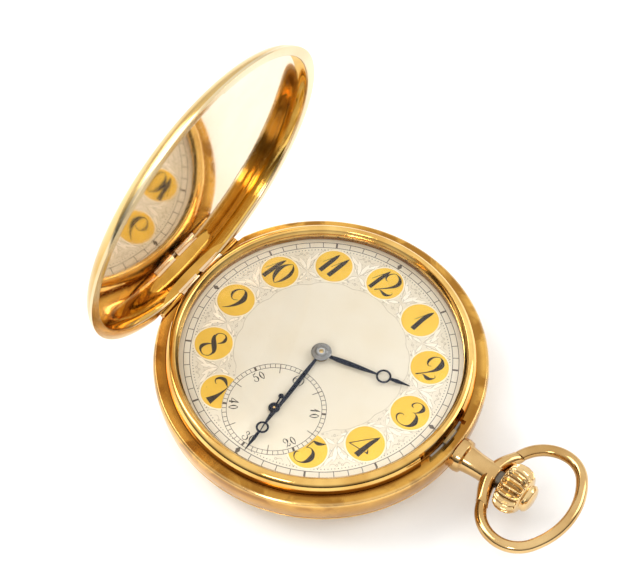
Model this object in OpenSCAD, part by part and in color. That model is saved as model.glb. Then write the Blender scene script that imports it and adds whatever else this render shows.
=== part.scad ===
// Hunter pocket watch with keyless lever movement, front cover shown open.
// Frame: origin at the centre of the flat rest face on the rear cover,
// +X to the crown (3 o'clock), +Y to 12 o'clock, +Z out through the dial.

/* [Case] */
// Radius of the case at its widest
case_r = 26.0; // [25.9:0.05:26.05]
// Height of the dial face above the rest face
dial_z = 9.0; // [9.0:0.05:9.05]
// Height of the domed front cover above its seat
cover_h = 3.1; // [3.1:0.05:3.6]
// Thickness of the gold cover walls
wall = 0.45; // [0.4:0.05:0.5]
// Opening angle of the front cover as drawn
cover_open = 83; // [60:1:86]
// Radius of the flat part of the rear cover
flat_r = 12; // [10:0.5:13]
// Outer radius of the bezel where it snaps into the band
bezel_r = 23.5; // [23.45:0.05:23.55]
// Outer radius of the rolled edge of the bezel
bezel_lip = 24.1; // [24.0:0.05:24.15]
// Height of the bezel crown above the dial
bezel_h = 2.2; // [2.0:0.05:2.3]

/* [Pendant and bow] */
// Height of the pendant axis below the dial face
pendant_drop = 2.4; // [2.4:0.01:2.42]
// Distance of the bow pivots from the watch axis
bow_x = 33.6; // [33.5:0.05:33.7]
// Half the space between the bow ends
bow_gap = 5.0; // [4.9:0.05:5.1]
// Radius of the bow wire
bow_wire = 0.93; // [0.85:0.01:1.0]
// Half width of the bow along Y
bow_half_w = 9.03; // [8.9:0.01:9.3]
// Tilt of the bow above the pendant axis
bow_tilt = 8.8; // [0:0.1:20]
// Radius of the crown
crown_r = 3.95; // [3.8:0.05:4.0]
// Number of flutes round the crown
crown_flutes = 18; // [16:1:20]

/* [Dial and hands] */
// Radius of the dial
dial_r = 22.1; // [22.0:0.05:22.1]
// Radius of the circle of numeral discs
numeral_ring_r = 16.8; // [16.6:0.1:17.0]
// Radius of a numeral disc
numeral_disc_r = 2.95; // [2.8:0.05:3.0]
// Distance of the small seconds below the centre
seconds_y = 11.92; // [11.9:0.01:11.94]
// Radius of the small seconds chapter
seconds_r = 7.93; // [7.8:0.01:8.0]
// Angle of the hour hand from +X
hour_ang = 14.1; // [0:0.1:359]
// Angle of the minute hand from +X
minute_ang = -86.8; // [-180:0.1:180]
// Angle of the seconds hand from +X
second_ang = -80; // [-180:1:180]

/* [Movement] */
// Turns of the hairspring
hair_turns = 7; // [5:1:8]

/* [Hidden] */
$fn = 96;
e = 0.01;
pz = dial_z - pendant_drop;          // pendant axis height
bz = pz - 0.09;                      // bow pivot height
hx = -24.2; hz = 8.75; hr = 0.55;    // front cover hinge
rx = -25.2; rz = 4.0;                // rear cover hinge
cx = -23.6; cz = 3.3; cr = 0.42;     // cuvette hinge
pinr = 0.25; boreR = 0.28;
// movement centres
B = [9*cos(55), 9*sin(55)];          // barrel
T = [2.96, -6.563];                  // third wheel
F = [0, -seconds_y];                 // fourth wheel, small seconds
E = [-5.53, -10.44];                 // escape wheel
P = [-8.127, -8.402];                // pallet staff
W = [-13.1, -4.5];                   // balance
C = [11.15, 0];                      // crown wheel
M = [3.6, 0];                        // minute wheel
G = [8.4, 0];                        // setting wheel
K = [17.6, 9.0];                     // click
YK = [14.0, -5.4];                   // yoke
SL = [18.6, -5.4];                   // setting lever
function ang(a, b) = atan2(b[1]-a[1], b[0]-a[0]);
function mag(a) = sqrt(a[0]*a[0] + a[1]*a[1]);

// ---------- shared shapes ----------
// toothed outline: n teeth of module m, one tooth centred on angle ph
module gear2d(n, m, ph=0, pin=false) {
  p = 360/n; add = pin ? 0.7 : 0.9; ded = 1.3; wr = pin ? 0.17 : 0.25; wt = pin ? 0.09 : 0.07;
  rr = m*n/2 - ded*m; rt = m*n/2 + add*m;
  polygon([for (i=[0:n-1]) for (k=[[rr,-wr],[rt,-wt],[rt,wt],[rr,wr]])
    [k[0]*cos(ph + (i+k[1])*p), k[0]*sin(ph + (i+k[1])*p)]]);
}
module spoked(n, m, ph, h, arms=4, hub=1.1, rim=0.7) {
  r = m*n/2 - 1.3*m - rim;
  linear_extrude(h) difference() {
    gear2d(n, m, ph);
    difference() { circle(r); for (i=[0:arms-1]) rotate(i*360/arms) translate([0,-0.3]) square([r+1, 0.6]); circle(hub); }
  }
}
// countersunk slotted screw lying head down at height z, head radius r
module screw(r, h, shank_r, shank_h) {
  difference() {
    union() { cylinder(r=r, h=h); translate([0,0,h-e]) cylinder(r=shank_r, h=shank_h); }
    translate([-r-1,-0.1,-e]) cube([2*r+2, 0.2, h*0.45]);
  }
}
module along_y(x, z, y0, y1, r) translate([x,y0,z]) rotate([-90,0,0]) cylinder(r=r, h=y1-y0);
module along_x(x0, x1, z, r) translate([x0,0,z]) rotate([0,90,0]) cylinder(r=r, h=x1-x0);
// closed spiral strip between radii r0 and r1
module spiral2d(r0, r1, turns, t, steps=20) {
  n = turns*steps;
  polygon(concat([for (i=[0:n]) let(a=i*360/steps, r=r0+(r1-r0)*i/n) [r*cos(a), r*sin(a)]],
                 [for (j=[0:n]) let(i=n-j, a=i*360/steps, r=r0+(r1-r0)*i/n+t) [r*cos(a), r*sin(a)]]));
}

// ---------- case ----------
module case_band() color("gold") difference() {
  union() {
    rotate_extrude() polygon([[23.7,3.2],[24.25,3.3],[24.25,4.28],[25.5,4.28],[25.8,5.4],[case_r,7.2],[case_r,8.4],
      [case_r-0.15,8.8],[case_r-0.4,9.0],[bezel_r+0.15,9.0],[bezel_r+0.15,8.3],[22.25,8.3],[22.25,6.9],[21.3,6.9],[21.3,5.9],[22.4,5.7],[22.4,3.2]]);
  }
  // seat under the open cover, below the front hinge
  translate([-30,-15,8.15]) cube([6.4, 30, 2]);
  // lock spring slot
  intersection() {
    rotate_extrude() polygon([[bezel_r-1,8.35],[24.75,8.35],[24.75,10],[bezel_r-1,10]]);
    translate([20,-4.9,8]) cube([8, 8.8, 3]);
  }
  // fly spring groove
  rotate([0,0,112]) rotate_extrude(angle=60) polygon([[22.0,7.0],[22.95,7.0],[22.95,7.95],[22.0,7.95]]);
  // pendant tube bore
  along_x(21, 30, pz, 1.72);
  // rear hinge and cuvette hinge clearances
  along_y(rx, rz, -5.0, 5.0, 0.68);
  along_y(cx, cz, -3.2, 3.2, cr+0.1);
  translate([cx-0.2,-3.2,3.0]) cube([2, 6.4, 0.55]);
  // case screw notches
  for (a=[100,-80]) rotate(a) translate([21.3,0,5.0]) cylinder(r=1.35, h=1.2);
}
module band_knuckles() {
  for (s=[[-9.2,-4.3],[5.5,9.2]]) difference() {
    union() { along_y(hx, hz, s[0], s[1], hr); translate([hx-0.15,s[0],8.15-e]) cube([0.5, s[1]-s[0], 0.6]); }
    along_y(hx, hz, -12, 12, boreR);
  }
  for (s=[[-4.7,-1.9],[1.9,4.7]]) difference() {
    union() { along_y(rx, rz, s[0], s[1], 0.5); translate([rx+0.05,s[0],rz+0.26]) cube([0.75, s[1]-s[0], 0.5]); }
    along_y(rx, rz, -12, 12, boreR);
  }
  for (s=[[-5,-3.3],[3.3,5]]) difference() {
    union() { along_y(cx, cz, s[0], s[1], cr); translate([cx-0.3,s[0],cz]) cube([0.8, s[1]-s[0], 0.8]); }
    along_y(cx, cz, -12, 12, 0.2);
  }
}
module case_band_full() color("gold") { difference() { case_band(); for (s=[[-5.05,-3.1],[3.1,5.05]]) along_y(cx, cz, s[0], s[1], cr-0.1); } band_knuckles(); }

module pendant() color("gold") difference() {
  union() {
    // collar with a saddle against the band, neck and flare
    difference() {
      translate([0,0,pz]) rotate([0,90,0]) rotate_extrude() polygon([[0,25],[2.6,25],[2.75,26.6],[2.6,27.3],[2.3,27.6],[2.15,29.5],[2.3,31],[2.9,32.4],[2.4,33.1],[0,33.1]]);
      cylinder(r=case_r+0.03, h=20);
    }
    along_x(23.6, 27, pz, 1.7);
    // crescent head that carries the bow
    intersection() {
      translate([bow_x+10.25,0,bz]) rotate([0,0,180-25.5]) rotate_extrude(angle=51) translate([11.4,0]) polygon([for (k=[0:23]) let(a=k*15) [1.0*cos(a), 1.9*sin(a)]]);
      translate([0,0,bz]) rotate([90,0,90]) linear_extrude(50) polygon([for (k=[0:47]) let(a=k*7.5) [bow_gap*1.12*cos(a), 1.9*sin(a)]]);
      translate([20,-bow_gap+0.04,0]) cube([30, 2*bow_gap-0.08, 20]);
    }
  }
  along_x(20, 40, pz, 1.5);
  along_y(bow_x, bz, -6, 6, 0.42);
}
// torus arc of wire radius r, bend radius R about (x, y), from angle a0 to a1
module wire_arc(R, r, a0, a1, x, y) translate([x,y,0]) rotate([0,0,a0]) rotate_extrude(angle=a1-a0, $fn=72) translate([R,0]) circle(r, $fn=20);
// the bow is an oval of tangent arcs: far end, two sides and two inner ends
bow_a = 6.42;
side_R = 5.2;
side_c = bow_half_w - side_R;
end_R = (bow_a*bow_a + side_c*side_c - side_R*side_R) / (2*(bow_a - side_R));
end_ang = atan2(side_c, end_R - bow_a);
inner_R = (5.75*5.75 + (bow_half_w-bow_gap)*(bow_half_w-bow_gap)) / (2*(bow_half_w-bow_gap));
inner_c = bow_half_w - inner_R;
inner_ang = atan2(bow_gap - inner_c, -5.75) + 6;
module bow() color("goldenrod") translate([bow_x,0,bz]) rotate([0,-bow_tilt,0]) difference() {
  union() {
    translate([5.75,0,0]) difference() {
      union() {
        wire_arc(end_R, bow_wire, -end_ang, end_ang, bow_a-end_R, 0);
        for (s=[0,1]) mirror([0,s,0]) {
          wire_arc(side_R, bow_wire, end_ang, 90, 0, side_c);
          wire_arc(inner_R, bow_wire, 90, inner_ang, 0, inner_c);
          translate([side_R*cos(end_ang), side_c+side_R*sin(end_ang), 0]) rotate([0,0,end_ang]) along_y(0, 0, -0.3, 0.3, 0.5);
          translate([0, bow_half_w, 0]) rotate([0,0,90]) along_y(0, 0, -0.3, 0.3, 0.5);
        }
      }
      translate([-8,-bow_gap-0.04,-5]) cube([6, 2*bow_gap+0.08, 10]);
    }
  }
  along_y(0, 0, -6.6, 6.6, 0.42);
}
module bow_pivots() color("goldenrod") for (s=[0,180]) translate([bow_x,0,bz]) rotate([0,0,s]) {
  along_y(0, 0, 3.9, 5.95, 0.38);
}

// domed shell outline: height h over radius r
function dome(r, h, n=40) = [for (i=[0:n]) let(u=sin(90*i/n)) [r*u, h*pow(1-pow(u,13), 0.6)]];
module cover_closed() {
  difference() {
    intersection() {
      rotate_extrude() polygon(concat([[0,0]], [for (p=dome(case_r-0.05, cover_h)) [p[0], p[1]+9.02]], [[case_r-0.05,9.02],[0,9.02]]));
      translate([hx-0.4,-40,8]) cube([80,80,20]);
    }
    intersection() {
      rotate_extrude() polygon(concat([[0,8]], [[24.3,8],[24.3,9.5],[25.4,9.6]], [for (i=[0:36]) let(q=dome(case_r-0.05-wall, cover_h-wall)[36-i]) [q[0], q[1]+9.02]], [[0,9.02+cover_h-wall]]));
      translate([hx+0.05,-40,7]) cube([80,80,20]);
    }
    along_y(hx, hz, -15, 15, hr+0.1);
    // catch slot for the lock spring
    translate([23.5,-1.6,8.9]) cube([1.25,3.2,0.8]);
  }
  for (s=[[-4.2,0.1],[0.9,5.4]]) difference() {
    union() { along_y(hx, hz, s[0], s[1], hr); translate([hx-0.35,s[0],hz]) cube([0.6, s[1]-s[0], 0.9]); }
    along_y(hx, hz, -12, 12, boreR);
  }
}
module front_cover() color("gold") translate([hx,0,hz]) rotate([0,-cover_open,0]) translate([-hx,0,-hz]) cover_closed();
module front_hinge_pin() color("lightgray") along_y(hx, hz, -9.1, 9.1, pinr);

function back(r, h, n=26) = concat([[0,0],[flat_r,0]], [for (i=[1:n]) let(u=sin(90*i/n)) [flat_r + (r-flat_r)*u, h - h*pow(1-pow(u,2.2), 1/1.9)]]);
module rear_cover() color("gold") {
  difference() {
    intersection() {
      rotate_extrude() polygon(concat(back(25.55, 4.2), [[0,4.2]]));
      translate([rx+0.3,-40,-1]) cube([80,80,20]);
    }
    intersection() {
      rotate_extrude() polygon(concat([for (p=back(25.05, 3.7)) [p[0], p[1]+0.5]], [[25.05,5],[0,5]]));
      translate([rx+0.72,-40,-1]) cube([80,80,20]);
    }
    along_y(rx, rz, -15, 15, 0.6);
  }
  difference() {
    union() { along_y(rx, rz, -1.8, 1.8, 0.5); translate([rx,-1.8,rz-0.85]) cube([0.62, 3.6, 0.85]); }
    along_y(rx, rz, -12, 12, boreR);
  }
  // opening lip
  rotate(62) translate([25.3,-1.6,3.7]) intersection() { cube([0.75,3.2,0.45]); translate([-0.9,1.6,0]) cylinder(r=1.65,h=1); }
}
module rear_hinge_pin() color("lightgray") along_y(rx, rz, -4.6, 4.6, pinr);

module cuvette() color("goldenrod") {
  difference() {
    intersection() {
      rotate_extrude() polygon([[0,2.35],[16,2.42],[21,2.6],[23.3,2.72],[23.45,3.12],[22.3,3.12],[21,2.95],[16,2.77],[0,2.7]]);
      translate([cx+0.25,-40,0]) cube([80,80,9]);
    }
    along_y(cx, cz, -5.2, 5.2, cr+0.08);
  }
  difference() {
    union() { along_y(cx, cz, -3.1, 3.1, cr); translate([cx,-3.1,cz-0.42]) cube([0.75, 6.2, 0.3]); }
    along_y(cx, cz, -12, 12, 0.2);
  }
}
module cuvette_hinge_pin() color("lightgray") along_y(cx, cz, -4.9, 4.9, 0.18);

module bezel() color("gold") difference() {
  rotate_extrude() polygon(concat(
    [[22.4,8.32],[bezel_r,8.32],[bezel_r,dial_z+0.06],[bezel_lip-0.1,dial_z+0.06],[bezel_lip,dial_z+0.2]],
    [for (i=[1:6]) let(a=i*15) [22.75+(bezel_lip-22.75)*cos(a), dial_z+0.2+(bezel_h-0.2)*sin(a)]],
    [for (a=[110,129.5]) [22.75+0.75*cos(a), dial_z+0.45+(bezel_h-0.45)*sin(a)]],
    [[22.05,dial_z+1.62],[22.02,dial_z+1.5],[22.6,dial_z+1.48],[22.6,dial_z+1.18],[21.9,dial_z+1.1],[21.85,dial_z+0.15],[22.4,dial_z+0.05]]));
  // flat beside the hinge and recess for the lock spring
  translate([-30,-15,8]) cube([6.55,30,6]);
  rotate([0,0,-15]) rotate_extrude(angle=26.25) polygon([[23.4,8],[25,8],[25,13],[23.4,13]]);
}
module crystal() color("white", 0.3) rotate_extrude() polygon(concat(
  [for (i=[0:10]) let(r=21.9*i/10) [r, dial_z+1.75 - 0.45*pow(r/22, 2.6)]], [[21.95,dial_z+1.22],[22.5,dial_z+1.22],[22.5,dial_z+1.45],[21.95,dial_z+1.46]],
  [for (i=[0:10]) let(r=21.9*(10-i)/10) [r, dial_z+2.4 - 0.7*pow(r/22, 2.6)]]));

module lock_spring() color("dimgray") difference() {
  union() {
    intersection() {
      rotate_extrude() polygon([[23.85,8.4],[24.2,8.4],[24.2,9.5],[24.5,9.62],[24.35,9.85],[23.85,9.7]]);
      translate([20,-1.4,8]) cube([8, 2.8, 3]);
    }
    intersection() {
      rotate_extrude() polygon([[23.85,8.4],[24.16,8.4],[24.16,9.25],[23.85,9.25]]);
      translate([20,-4.3,8]) cube([8, 7.6, 3]);
    }
  }
}
module fly_spring() color("gray") difference() {
  rotate([0,0,114]) rotate_extrude(angle=56) polygon([[22.4,7.1],[22.75,7.1],[22.75,7.85],[22.4,7.85]]);
}
module case_screws() color("lightgray") for (a=[100,-80]) rotate(a) translate([20.55,0,5.2]) screw(0.95, 0.55, 0.35, 2.2);

module crown() color("gold") difference() {
  translate([0,0,pz]) rotate([0,90,0]) rotate_extrude() polygon([[0.8,34.25],[2.9,34.25],[3.5,34.4],[crown_r-0.1,35.2],[crown_r,36.1],[3.7,37.1],[2.9,38.0],
    [2.3,38.25],[2.15,38.35],[2.2,38.75],[1.9,39.2],[1.2,39.45],[0,39.55],[0,35.6],[0.8,35.6]]);
  for (i=[0:crown_flutes-1]) translate([0,0,pz]) rotate([i*360/crown_flutes,0,0]) {
    translate([33.5,0,crown_r+0.05]) rotate([0,90,0]) rotate([0,0,0]) cylinder(r=0.42, h=4.9);
  }
}
module winding_stem() color("lightgray") translate([0,0,pz]) rotate([0,90,0]) rotate_extrude() polygon(
  [[0,10.9],[0.35,10.9],[0.35,11.6],[0.55,11.6],[0.55,16.4],[0.75,16.4],[0.75,19.6],[0.45,19.6],[0.45,20.6],[0.75,20.6],[0.75,35.55],[0,35.55]]);
module push_sleeve() color("gray") difference() { along_x(24.0, 33.9, pz, 1.44); along_x(20, 40, pz, 0.82); }

// ---------- dial and hands ----------
module dial() color("ivory") difference() {
  translate([0,0,dial_z-0.4]) cylinder(r=dial_r, h=0.4);
  translate([0,0,dial_z-1]) cylinder(r=1.15, h=2);
  translate([F[0],F[1],dial_z-1]) cylinder(r=0.4, h=2);
}
module numeral_discs() color("gold") difference() {
  for (k=[1:12]) if (k != 6) rotate(90-30*k) translate([numeral_ring_r,0,dial_z]) cylinder(r=numeral_disc_r, h=0.06);
  translate([F[0],F[1],dial_z-1]) cylinder(r=seconds_r+0.02, h=2);
}
module hand2d(len, tail, w, ringr, ringx) {
  difference() {
    union() {
      polygon([[0,-w*0.55],[len*0.38,-w],[ringx-ringr*0.8,-w*0.35],[ringx-ringr*0.8,w*0.35],[len*0.38,w],[0,w*0.55]]);
      translate([ringx,0]) circle(ringr);
      polygon([[ringx+ringr*0.7,-w*0.45],[ringx+(len-ringx)*0.5,-w*0.75],[len,-0.03],[len,0.03],[ringx+(len-ringx)*0.5,w*0.75],[ringx+ringr*0.7,w*0.45]]);
      circle(1.25);
    }
    translate([ringx,0]) circle(ringr-0.32);
  }
}
module hour_hand() color("midnightblue") rotate(hour_ang) translate([0,0,dial_z+0.45]) difference() {
  linear_extrude(0.16) hand2d(14.66, 0, 0.42, 1.2, 10.34);
  translate([0,0,-1]) cylinder(r=0.98, h=3);
}
module minute_hand() color("midnightblue") rotate(minute_ang) translate([0,0,dial_z+0.85]) difference() {
  linear_extrude(0.16) hand2d(20.6, 0, 0.36, 1.0, 15.96);
  translate([0,0,-1]) cylinder(r=0.64, h=3);
}
module minute_collet() color("silver") translate([0,0,dial_z+1.02]) difference() {
  union() { cylinder(r1=1.6, r2=1.5, h=0.14); translate([0,0,0.13]) cylinder(r=0.95, h=0.2); }
  translate([0,0,-1]) cylinder(r=0.62, h=3);
}
module seconds_hand() color("midnightblue") translate([F[0],F[1],dial_z+0.25]) rotate(second_ang) difference() {
  linear_extrude(0.12) union() {
    polygon([[0,-0.16],[5.6,-0.05],[5.6,0.05],[0,0.16]]); circle(0.9);
    polygon([[0,-0.14],[-2.3,-0.1],[-2.3,0.1],[0,0.14]]); translate([-2.3,0]) circle(0.42);
  }
  translate([0,0,-1]) cylinder(r=0.2, h=3);
}
module dial_screws() color("lightgray") for (a=[35,155,275]) rotate(a) { translate([20.6,0,dial_z-1.7]) cylinder(r=0.45, h=1.28); }

// ---------- movement ----------
module mainplate() color("silver") {
  difference() {
    translate([0,0,6.9]) cylinder(r=22.1, h=1.3);
    // motion work recess
    for (c=[[[0,0],6.6],[M,3.7],[G,2.8]]) translate([c[0][0],c[0][1],7.6]) cylinder(r=c[1], h=2);
    // keyless works window and stem channel
    translate([10.4,-3.25,6]) cube([8.4,5.6,4]);
    along_x(10, 30, pz, 0.85);
    for (c=[[[0,0],0.75],[T,0.3],[F,0.4],[E,0.3],[P,0.3],[W,0.55],[B,0.9]]) translate([c[0][0],c[0][1],5]) cylinder(r=c[1], h=5);
    // setting lever and yoke recess, dial side
    translate([11.0,-6.9,7.75]) cube([10.4,5.0,2]);
    translate([19.0,-3.2,7.75]) cube([3.0,3.2,2]);
    translate([19.2,-1.8,6]) cube([2.5,1.8,4]);
    for (a=[35,155,275]) rotate(a) translate([20.6,0,5]) cylinder(r=0.48, h=5);
    for (a=[100,-80]) rotate(a) translate([20.55,0,5]) cylinder(r=0.38, h=5);
    for (c=feet) translate([c[0],c[1],5]) cylinder(r=0.4, h=3);
  }
  // studs for the motion work, yoke and setting lever
  for (c=posts) translate([c[0],c[1],7.5]) cylinder(r=0.24, h=0.85);
}
feet = [[-8.5,11],[18.0,6.2],[-16.6,5.0],[8.8,-13.5],[-3.0,-18.6],[10.6,-5.2],[-10.5,-15.0]];
posts = [YK,SL,G,M];
module barrel_bridge() color("silver") difference() {
  union() {
    translate([0,0,3.9]) intersection() {
      cylinder(r=21.0, h=0.8);
      difference() {
        translate([-25,-2.6,-1]) cube([50,50,9]);
        translate([W[0],W[1],-1]) cylinder(r=8.0, h=9);
        translate([-25,-3,-1]) cube([13,4.2,9]);
      }
    }
    translate([C[0],C[1],4.7-e]) cylinder(r=3.9, h=0.45);
    for (i=[0:2]) translate([feet[i][0],feet[i][1],4.7-e]) cylinder(r=1.5, h=2.2);
  }
  translate([0,0,3]) { cylinder(r=0.75, h=4); translate([B[0],B[1],0]) cylinder(r=1.3, h=4); }
  translate([C[0],C[1],3.8]) difference() { cylinder(r=3.62, h=1.22); cylinder(r=2.3, h=4); }
  translate([C[0],C[1],3]) cylinder(r=0.4, h=3);
  translate([C[0]+2.2,-2.15,3]) cube([2.1,4.3,3]);
  for (i=[0:2]) translate([feet[i][0],feet[i][1],2]) { cylinder(r=0.44, h=9); cylinder(r=1.05, h=2.35); }
  translate([K[0],K[1],3]) cylinder(r=0.32, h=3);
  translate([13.4,14.2,3]) cylinder(r=0.32, h=3);
}
module train_bridge() color("silver") difference() {
  union() {
    translate([0,0,3.9]) linear_extrude(0.8) difference() {
      hull() { translate(T) circle(2.4); translate(F) circle(2.6); translate(E) circle(1.6); translate([8.8,-13.5]) circle(2.0); translate([-3.0,-18.3]) circle(1.9); translate([10.6,-5.2]) circle(1.9); }
      translate([0,0]) circle(3.4);
      translate([-25,-2.9]) square([50,50]);
    }
    for (i=[3:5]) translate([feet[i][0],feet[i][1],4.7-e]) cylinder(r=1.4, h=2.2);
  }
  for (c=[T,F,E]) translate([c[0],c[1],3]) cylinder(r=0.72, h=4);
  for (i=[3:5]) translate([feet[i][0],feet[i][1],2]) { cylinder(r=0.44, h=9); cylinder(r=1.05, h=2.35); }
}
module balance_cock() color("silver") difference() {
  union() {
    translate([0,0,3.55]) linear_extrude(0.75) hull() { translate(W) circle(1.9); translate([-11.2,-14.6]) circle(2.7); }
    translate([-10.5,-15.0,4.3-e]) cylinder(r=2.0, h=2.6);
  }
  translate([W[0],W[1],3]) cylinder(r=0.72, h=4);
  translate([feet[6][0],feet[6][1],2]) { cylinder(r=0.44, h=9); cylinder(r=1.05, h=2.0); }
  translate([W[0]+2.6*cos(40),W[1]+2.6*sin(40),3]) cylinder(r=0.2, h=3);
}
module pallet_cock() color("silver") difference() {
  union() {
    translate([0,0,5.7]) linear_extrude(0.38) hull() { translate(P) circle(0.8); translate([-11.6,-10.9]) circle(0.9); }
    translate([-11.6,-10.9,6.0]) cylinder(r=0.75, h=0.9);
  }
  translate([P[0],P[1],5]) cylinder(r=0.22, h=3);
}
module barrel_drum() color("goldenrod") translate([B[0],B[1],0]) difference() {
  union() {
    translate([0,0,6.3]) linear_extrude(0.4) gear2d(64, 0.25, ang(B,[0,0]));
    translate([0,0,5.45]) cylinder(r=7.6, h=1.25);
  }
  translate([0,0,5.3]) cylinder(r=7.2, h=1.15);
  translate([0,0,5]) cylinder(r=0.97, h=3);
}
module barrel_lid() color("goldenrod") translate([B[0],B[1],5.25]) difference() { cylinder(r=7.5, h=0.19); translate([0,0,-1]) cylinder(r=0.97, h=3); }
module mainspring() color("slategray") translate([B[0],B[1],5.5]) linear_extrude(0.85) spiral2d(1.75, 6.9, 9, 0.14, 18);
module barrel_arbor() color("lightgray") translate([B[0],B[1],0]) rotate_extrude() polygon(
  [[0,3.5],[0.6,3.5],[0.6,3.88],[1.22,3.88],[1.22,4.75],[0.92,4.75],[0.92,5.5],[1.6,5.5],[1.6,6.4],[0.92,6.4],[0.92,6.86],[0.85,6.86],[0.85,8.1],[0,8.1]]);
module ratchet_wheel() color("lightgray") translate([B[0],B[1],3.42]) difference() {
  linear_extrude(0.4) gear2d(43, 0.26, ang(B,C));
  translate([0,0,-1]) cylinder(r=0.62, h=3);
}
module crown_wheel() color("lightgray") translate([C[0],C[1],0]) difference() {
  union() {
    translate([0,0,3.42]) linear_extrude(0.4) gear2d(30, 0.26, ang(C,B)+180/30);
    translate([0,0,3.8]) difference() { cylinder(r=3.3, h=0.75); translate([0,0,-1]) cylinder(r=2.7, h=3); }
    // crown teeth that meet the winding pinion
    for (i=[0:26]) rotate((i+0.5)*360/27) translate([2.72,-0.13,4.5]) cube([0.56,0.26,0.45]);
  }
  translate([0,0,2]) cylinder(r=0.62, h=3);
}
module ratchet_screw() color("lightgray") translate([B[0],B[1],2.95]) screw(1.15, 0.43, 0.35, 0.1);
module crown_wheel_screw() color("lightgray") translate([C[0],C[1],2.95]) screw(1.15, 0.43, 0.36, 1.9);
click_a = ang(K,B);
module click() color("lightgray") translate([K[0],K[1],3.42]) difference() {
  linear_extrude(0.4) union() {
    circle(1.05);
    rotate(click_a+14) polygon([[0,-0.9],[6.4,-0.35],[6.98,-0.12],[7.0,0.12],[0,0.9]]);
  }
  translate([0,0,-1]) cylinder(r=0.33, h=3);
}
module click_spring() color("gray") translate([0,0,3.45]) linear_extrude(0.35) difference() {
  union() {
    difference() { translate([13.4,14.2]) circle(0.75); translate([13.4,14.2]) circle(0.3); }
    rotate(0) polygon([[13.9,13.75],[18.2,10.6],[18.45,10.75],[14.0,14.3]]);
  }
}
module arbor(z0, z1, r=0.35, pr=0.16) { translate([0,0,z0]) cylinder(r=pr, h=z1-z0); translate([0,0,z0+0.65]) cylinder(r=r, h=z1-z0-1.3); }
module center_wheel() color("goldenrod") difference() {
  union() {
    translate([0,0,4.9]) spoked(64, 0.2, ang([0,0],T), 0.18, 5, 1.2, 0.6);
    translate([0,0,5.3]) cylinder(r=0.72, h=1.5);
    translate([0,0,6.2]) linear_extrude(0.6) gear2d(8, 0.25, ang(B,[0,0])+180+180/8, true);
    translate([0,0,4.0]) cylinder(r=0.62, h=3.6);
    translate([0,0,7.0]) cylinder(r=0.34, h=2.9);
  }
}
module third_wheel() color("goldenrod") translate([T[0],T[1],0]) union() {
  translate([0,0,6.2]) spoked(60, 0.18, ang(T,F), 0.18, 4, 1.0, 0.6);
  translate([0,0,4.8]) linear_extrude(0.6) gear2d(8, 0.2, ang([0,0],T)+180+180/8, true);
  translate([0,0,4.75]) cylinder(r=0.5, h=1.7);
  translate([0,0,4.05]) cylinder(r=0.18, h=3.6);
}
module fourth_wheel() color("goldenrod") translate([F[0],F[1],0]) union() {
  translate([0,0,5.5]) spoked(80, 0.13, ang(F,E), 0.18, 4, 0.9, 0.5);
  translate([0,0,6.0]) linear_extrude(0.6) gear2d(8, 0.18, ang(T,F)+180+180/8, true);
  translate([0,0,5.0]) cylinder(r=0.45, h=1.75);
  translate([0,0,4.05]) cylinder(r=0.18, h=5.4);
}
module escape_wheel() color("gold") translate([E[0],E[1],0]) union() {
  translate([0,0,6.3]) linear_extrude(0.18) difference() {
    polygon([for (i=[0:14]) for (k=[[1.9,0],[2.5,8],[2.5,10],[1.95,12]]) [k[0]*cos(24*i+k[1]+4), k[0]*sin(24*i+k[1]+4)]]);
    difference() { circle(1.5); for (i=[0:4]) rotate(72*i) translate([0,-0.18]) square([2,0.36]); circle(0.7); }
  }
  translate([0,0,5.3]) linear_extrude(0.6) gear2d(8, 0.13, ang(F,E)+180+180/8, true);
  translate([0,0,5.2]) cylinder(r=0.33, h=1.35);
  translate([0,0,4.05]) cylinder(r=0.14, h=3.6);
}
pa = ang(P,W); pe = ang(P,E);
module pallet_fork() color("lightgray") translate([P[0],P[1],0]) union() {
  translate([0,0,6.3]) linear_extrude(0.2) difference() {
    union() {
      circle(0.6);
      rotate(pe) for (s=[-1,1]) polygon([[-0.3,s*0.3],[0.2,s*0.35],[0.6,s*1.9],[1.35,s*2.35],[1.15,s*2.75],[-0.1,s*2.3]]);
      rotate(pa) polygon([[0,-0.3],[4.4,-0.16],[4.75,-0.5],[5.3,-0.55],[5.3,0.55],[4.75,0.5],[4.4,0.16],[0,0.3]]);
    }
    rotate(pa) translate([4.85,-0.28]) square([1,0.56]);
  }
  translate([0,0,5.75]) cylinder(r=0.14, h=1.85);
}
module pallet_stones() color("crimson") translate([P[0],P[1],6.24]) rotate(pe) for (s=[-1,1]) linear_extrude(0.05)
  polygon([[0.62,s*2.05],[1.5,s*2.45],[1.4,s*2.65],[0.5,s*2.25]]);
module balance_wheel() color("goldenrod") translate([W[0],W[1],4.95]) union() {
  difference() { cylinder(r=7.0, h=0.55); translate([0,0,-1]) cylinder(r=6.3, h=3); }
  difference() { union() { cylinder(r=1.0, h=0.25); translate([-6.5,-0.45,0]) cube([13,0.9,0.25]); } translate([0,0,-1]) cylinder(r=0.42, h=3); }
  for (i=[0:11]) rotate(i*30+15) translate([6.9,0,0.28]) rotate([0,90,0]) cylinder(r=0.2, h=0.28);
}
module balance_staff() color("lightgray") translate([W[0],W[1],0]) union() {
  translate([0,0,3.75]) cylinder(r=0.12, h=4.2);
  translate([0,0,4.55]) cylinder(r=0.4, h=1.9);
  translate([0,0,6.05]) cylinder(r=0.75, h=0.15);
  translate([0.55*cos(pa+180),0.55*sin(pa+180),6.15]) cylinder(r=0.14, h=0.32);
}
module hairspring() color("steelblue") translate([W[0],W[1],4.45]) linear_extrude(0.16) spiral2d(0.6, 3.1, hair_turns, 0.05, 20);
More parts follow.
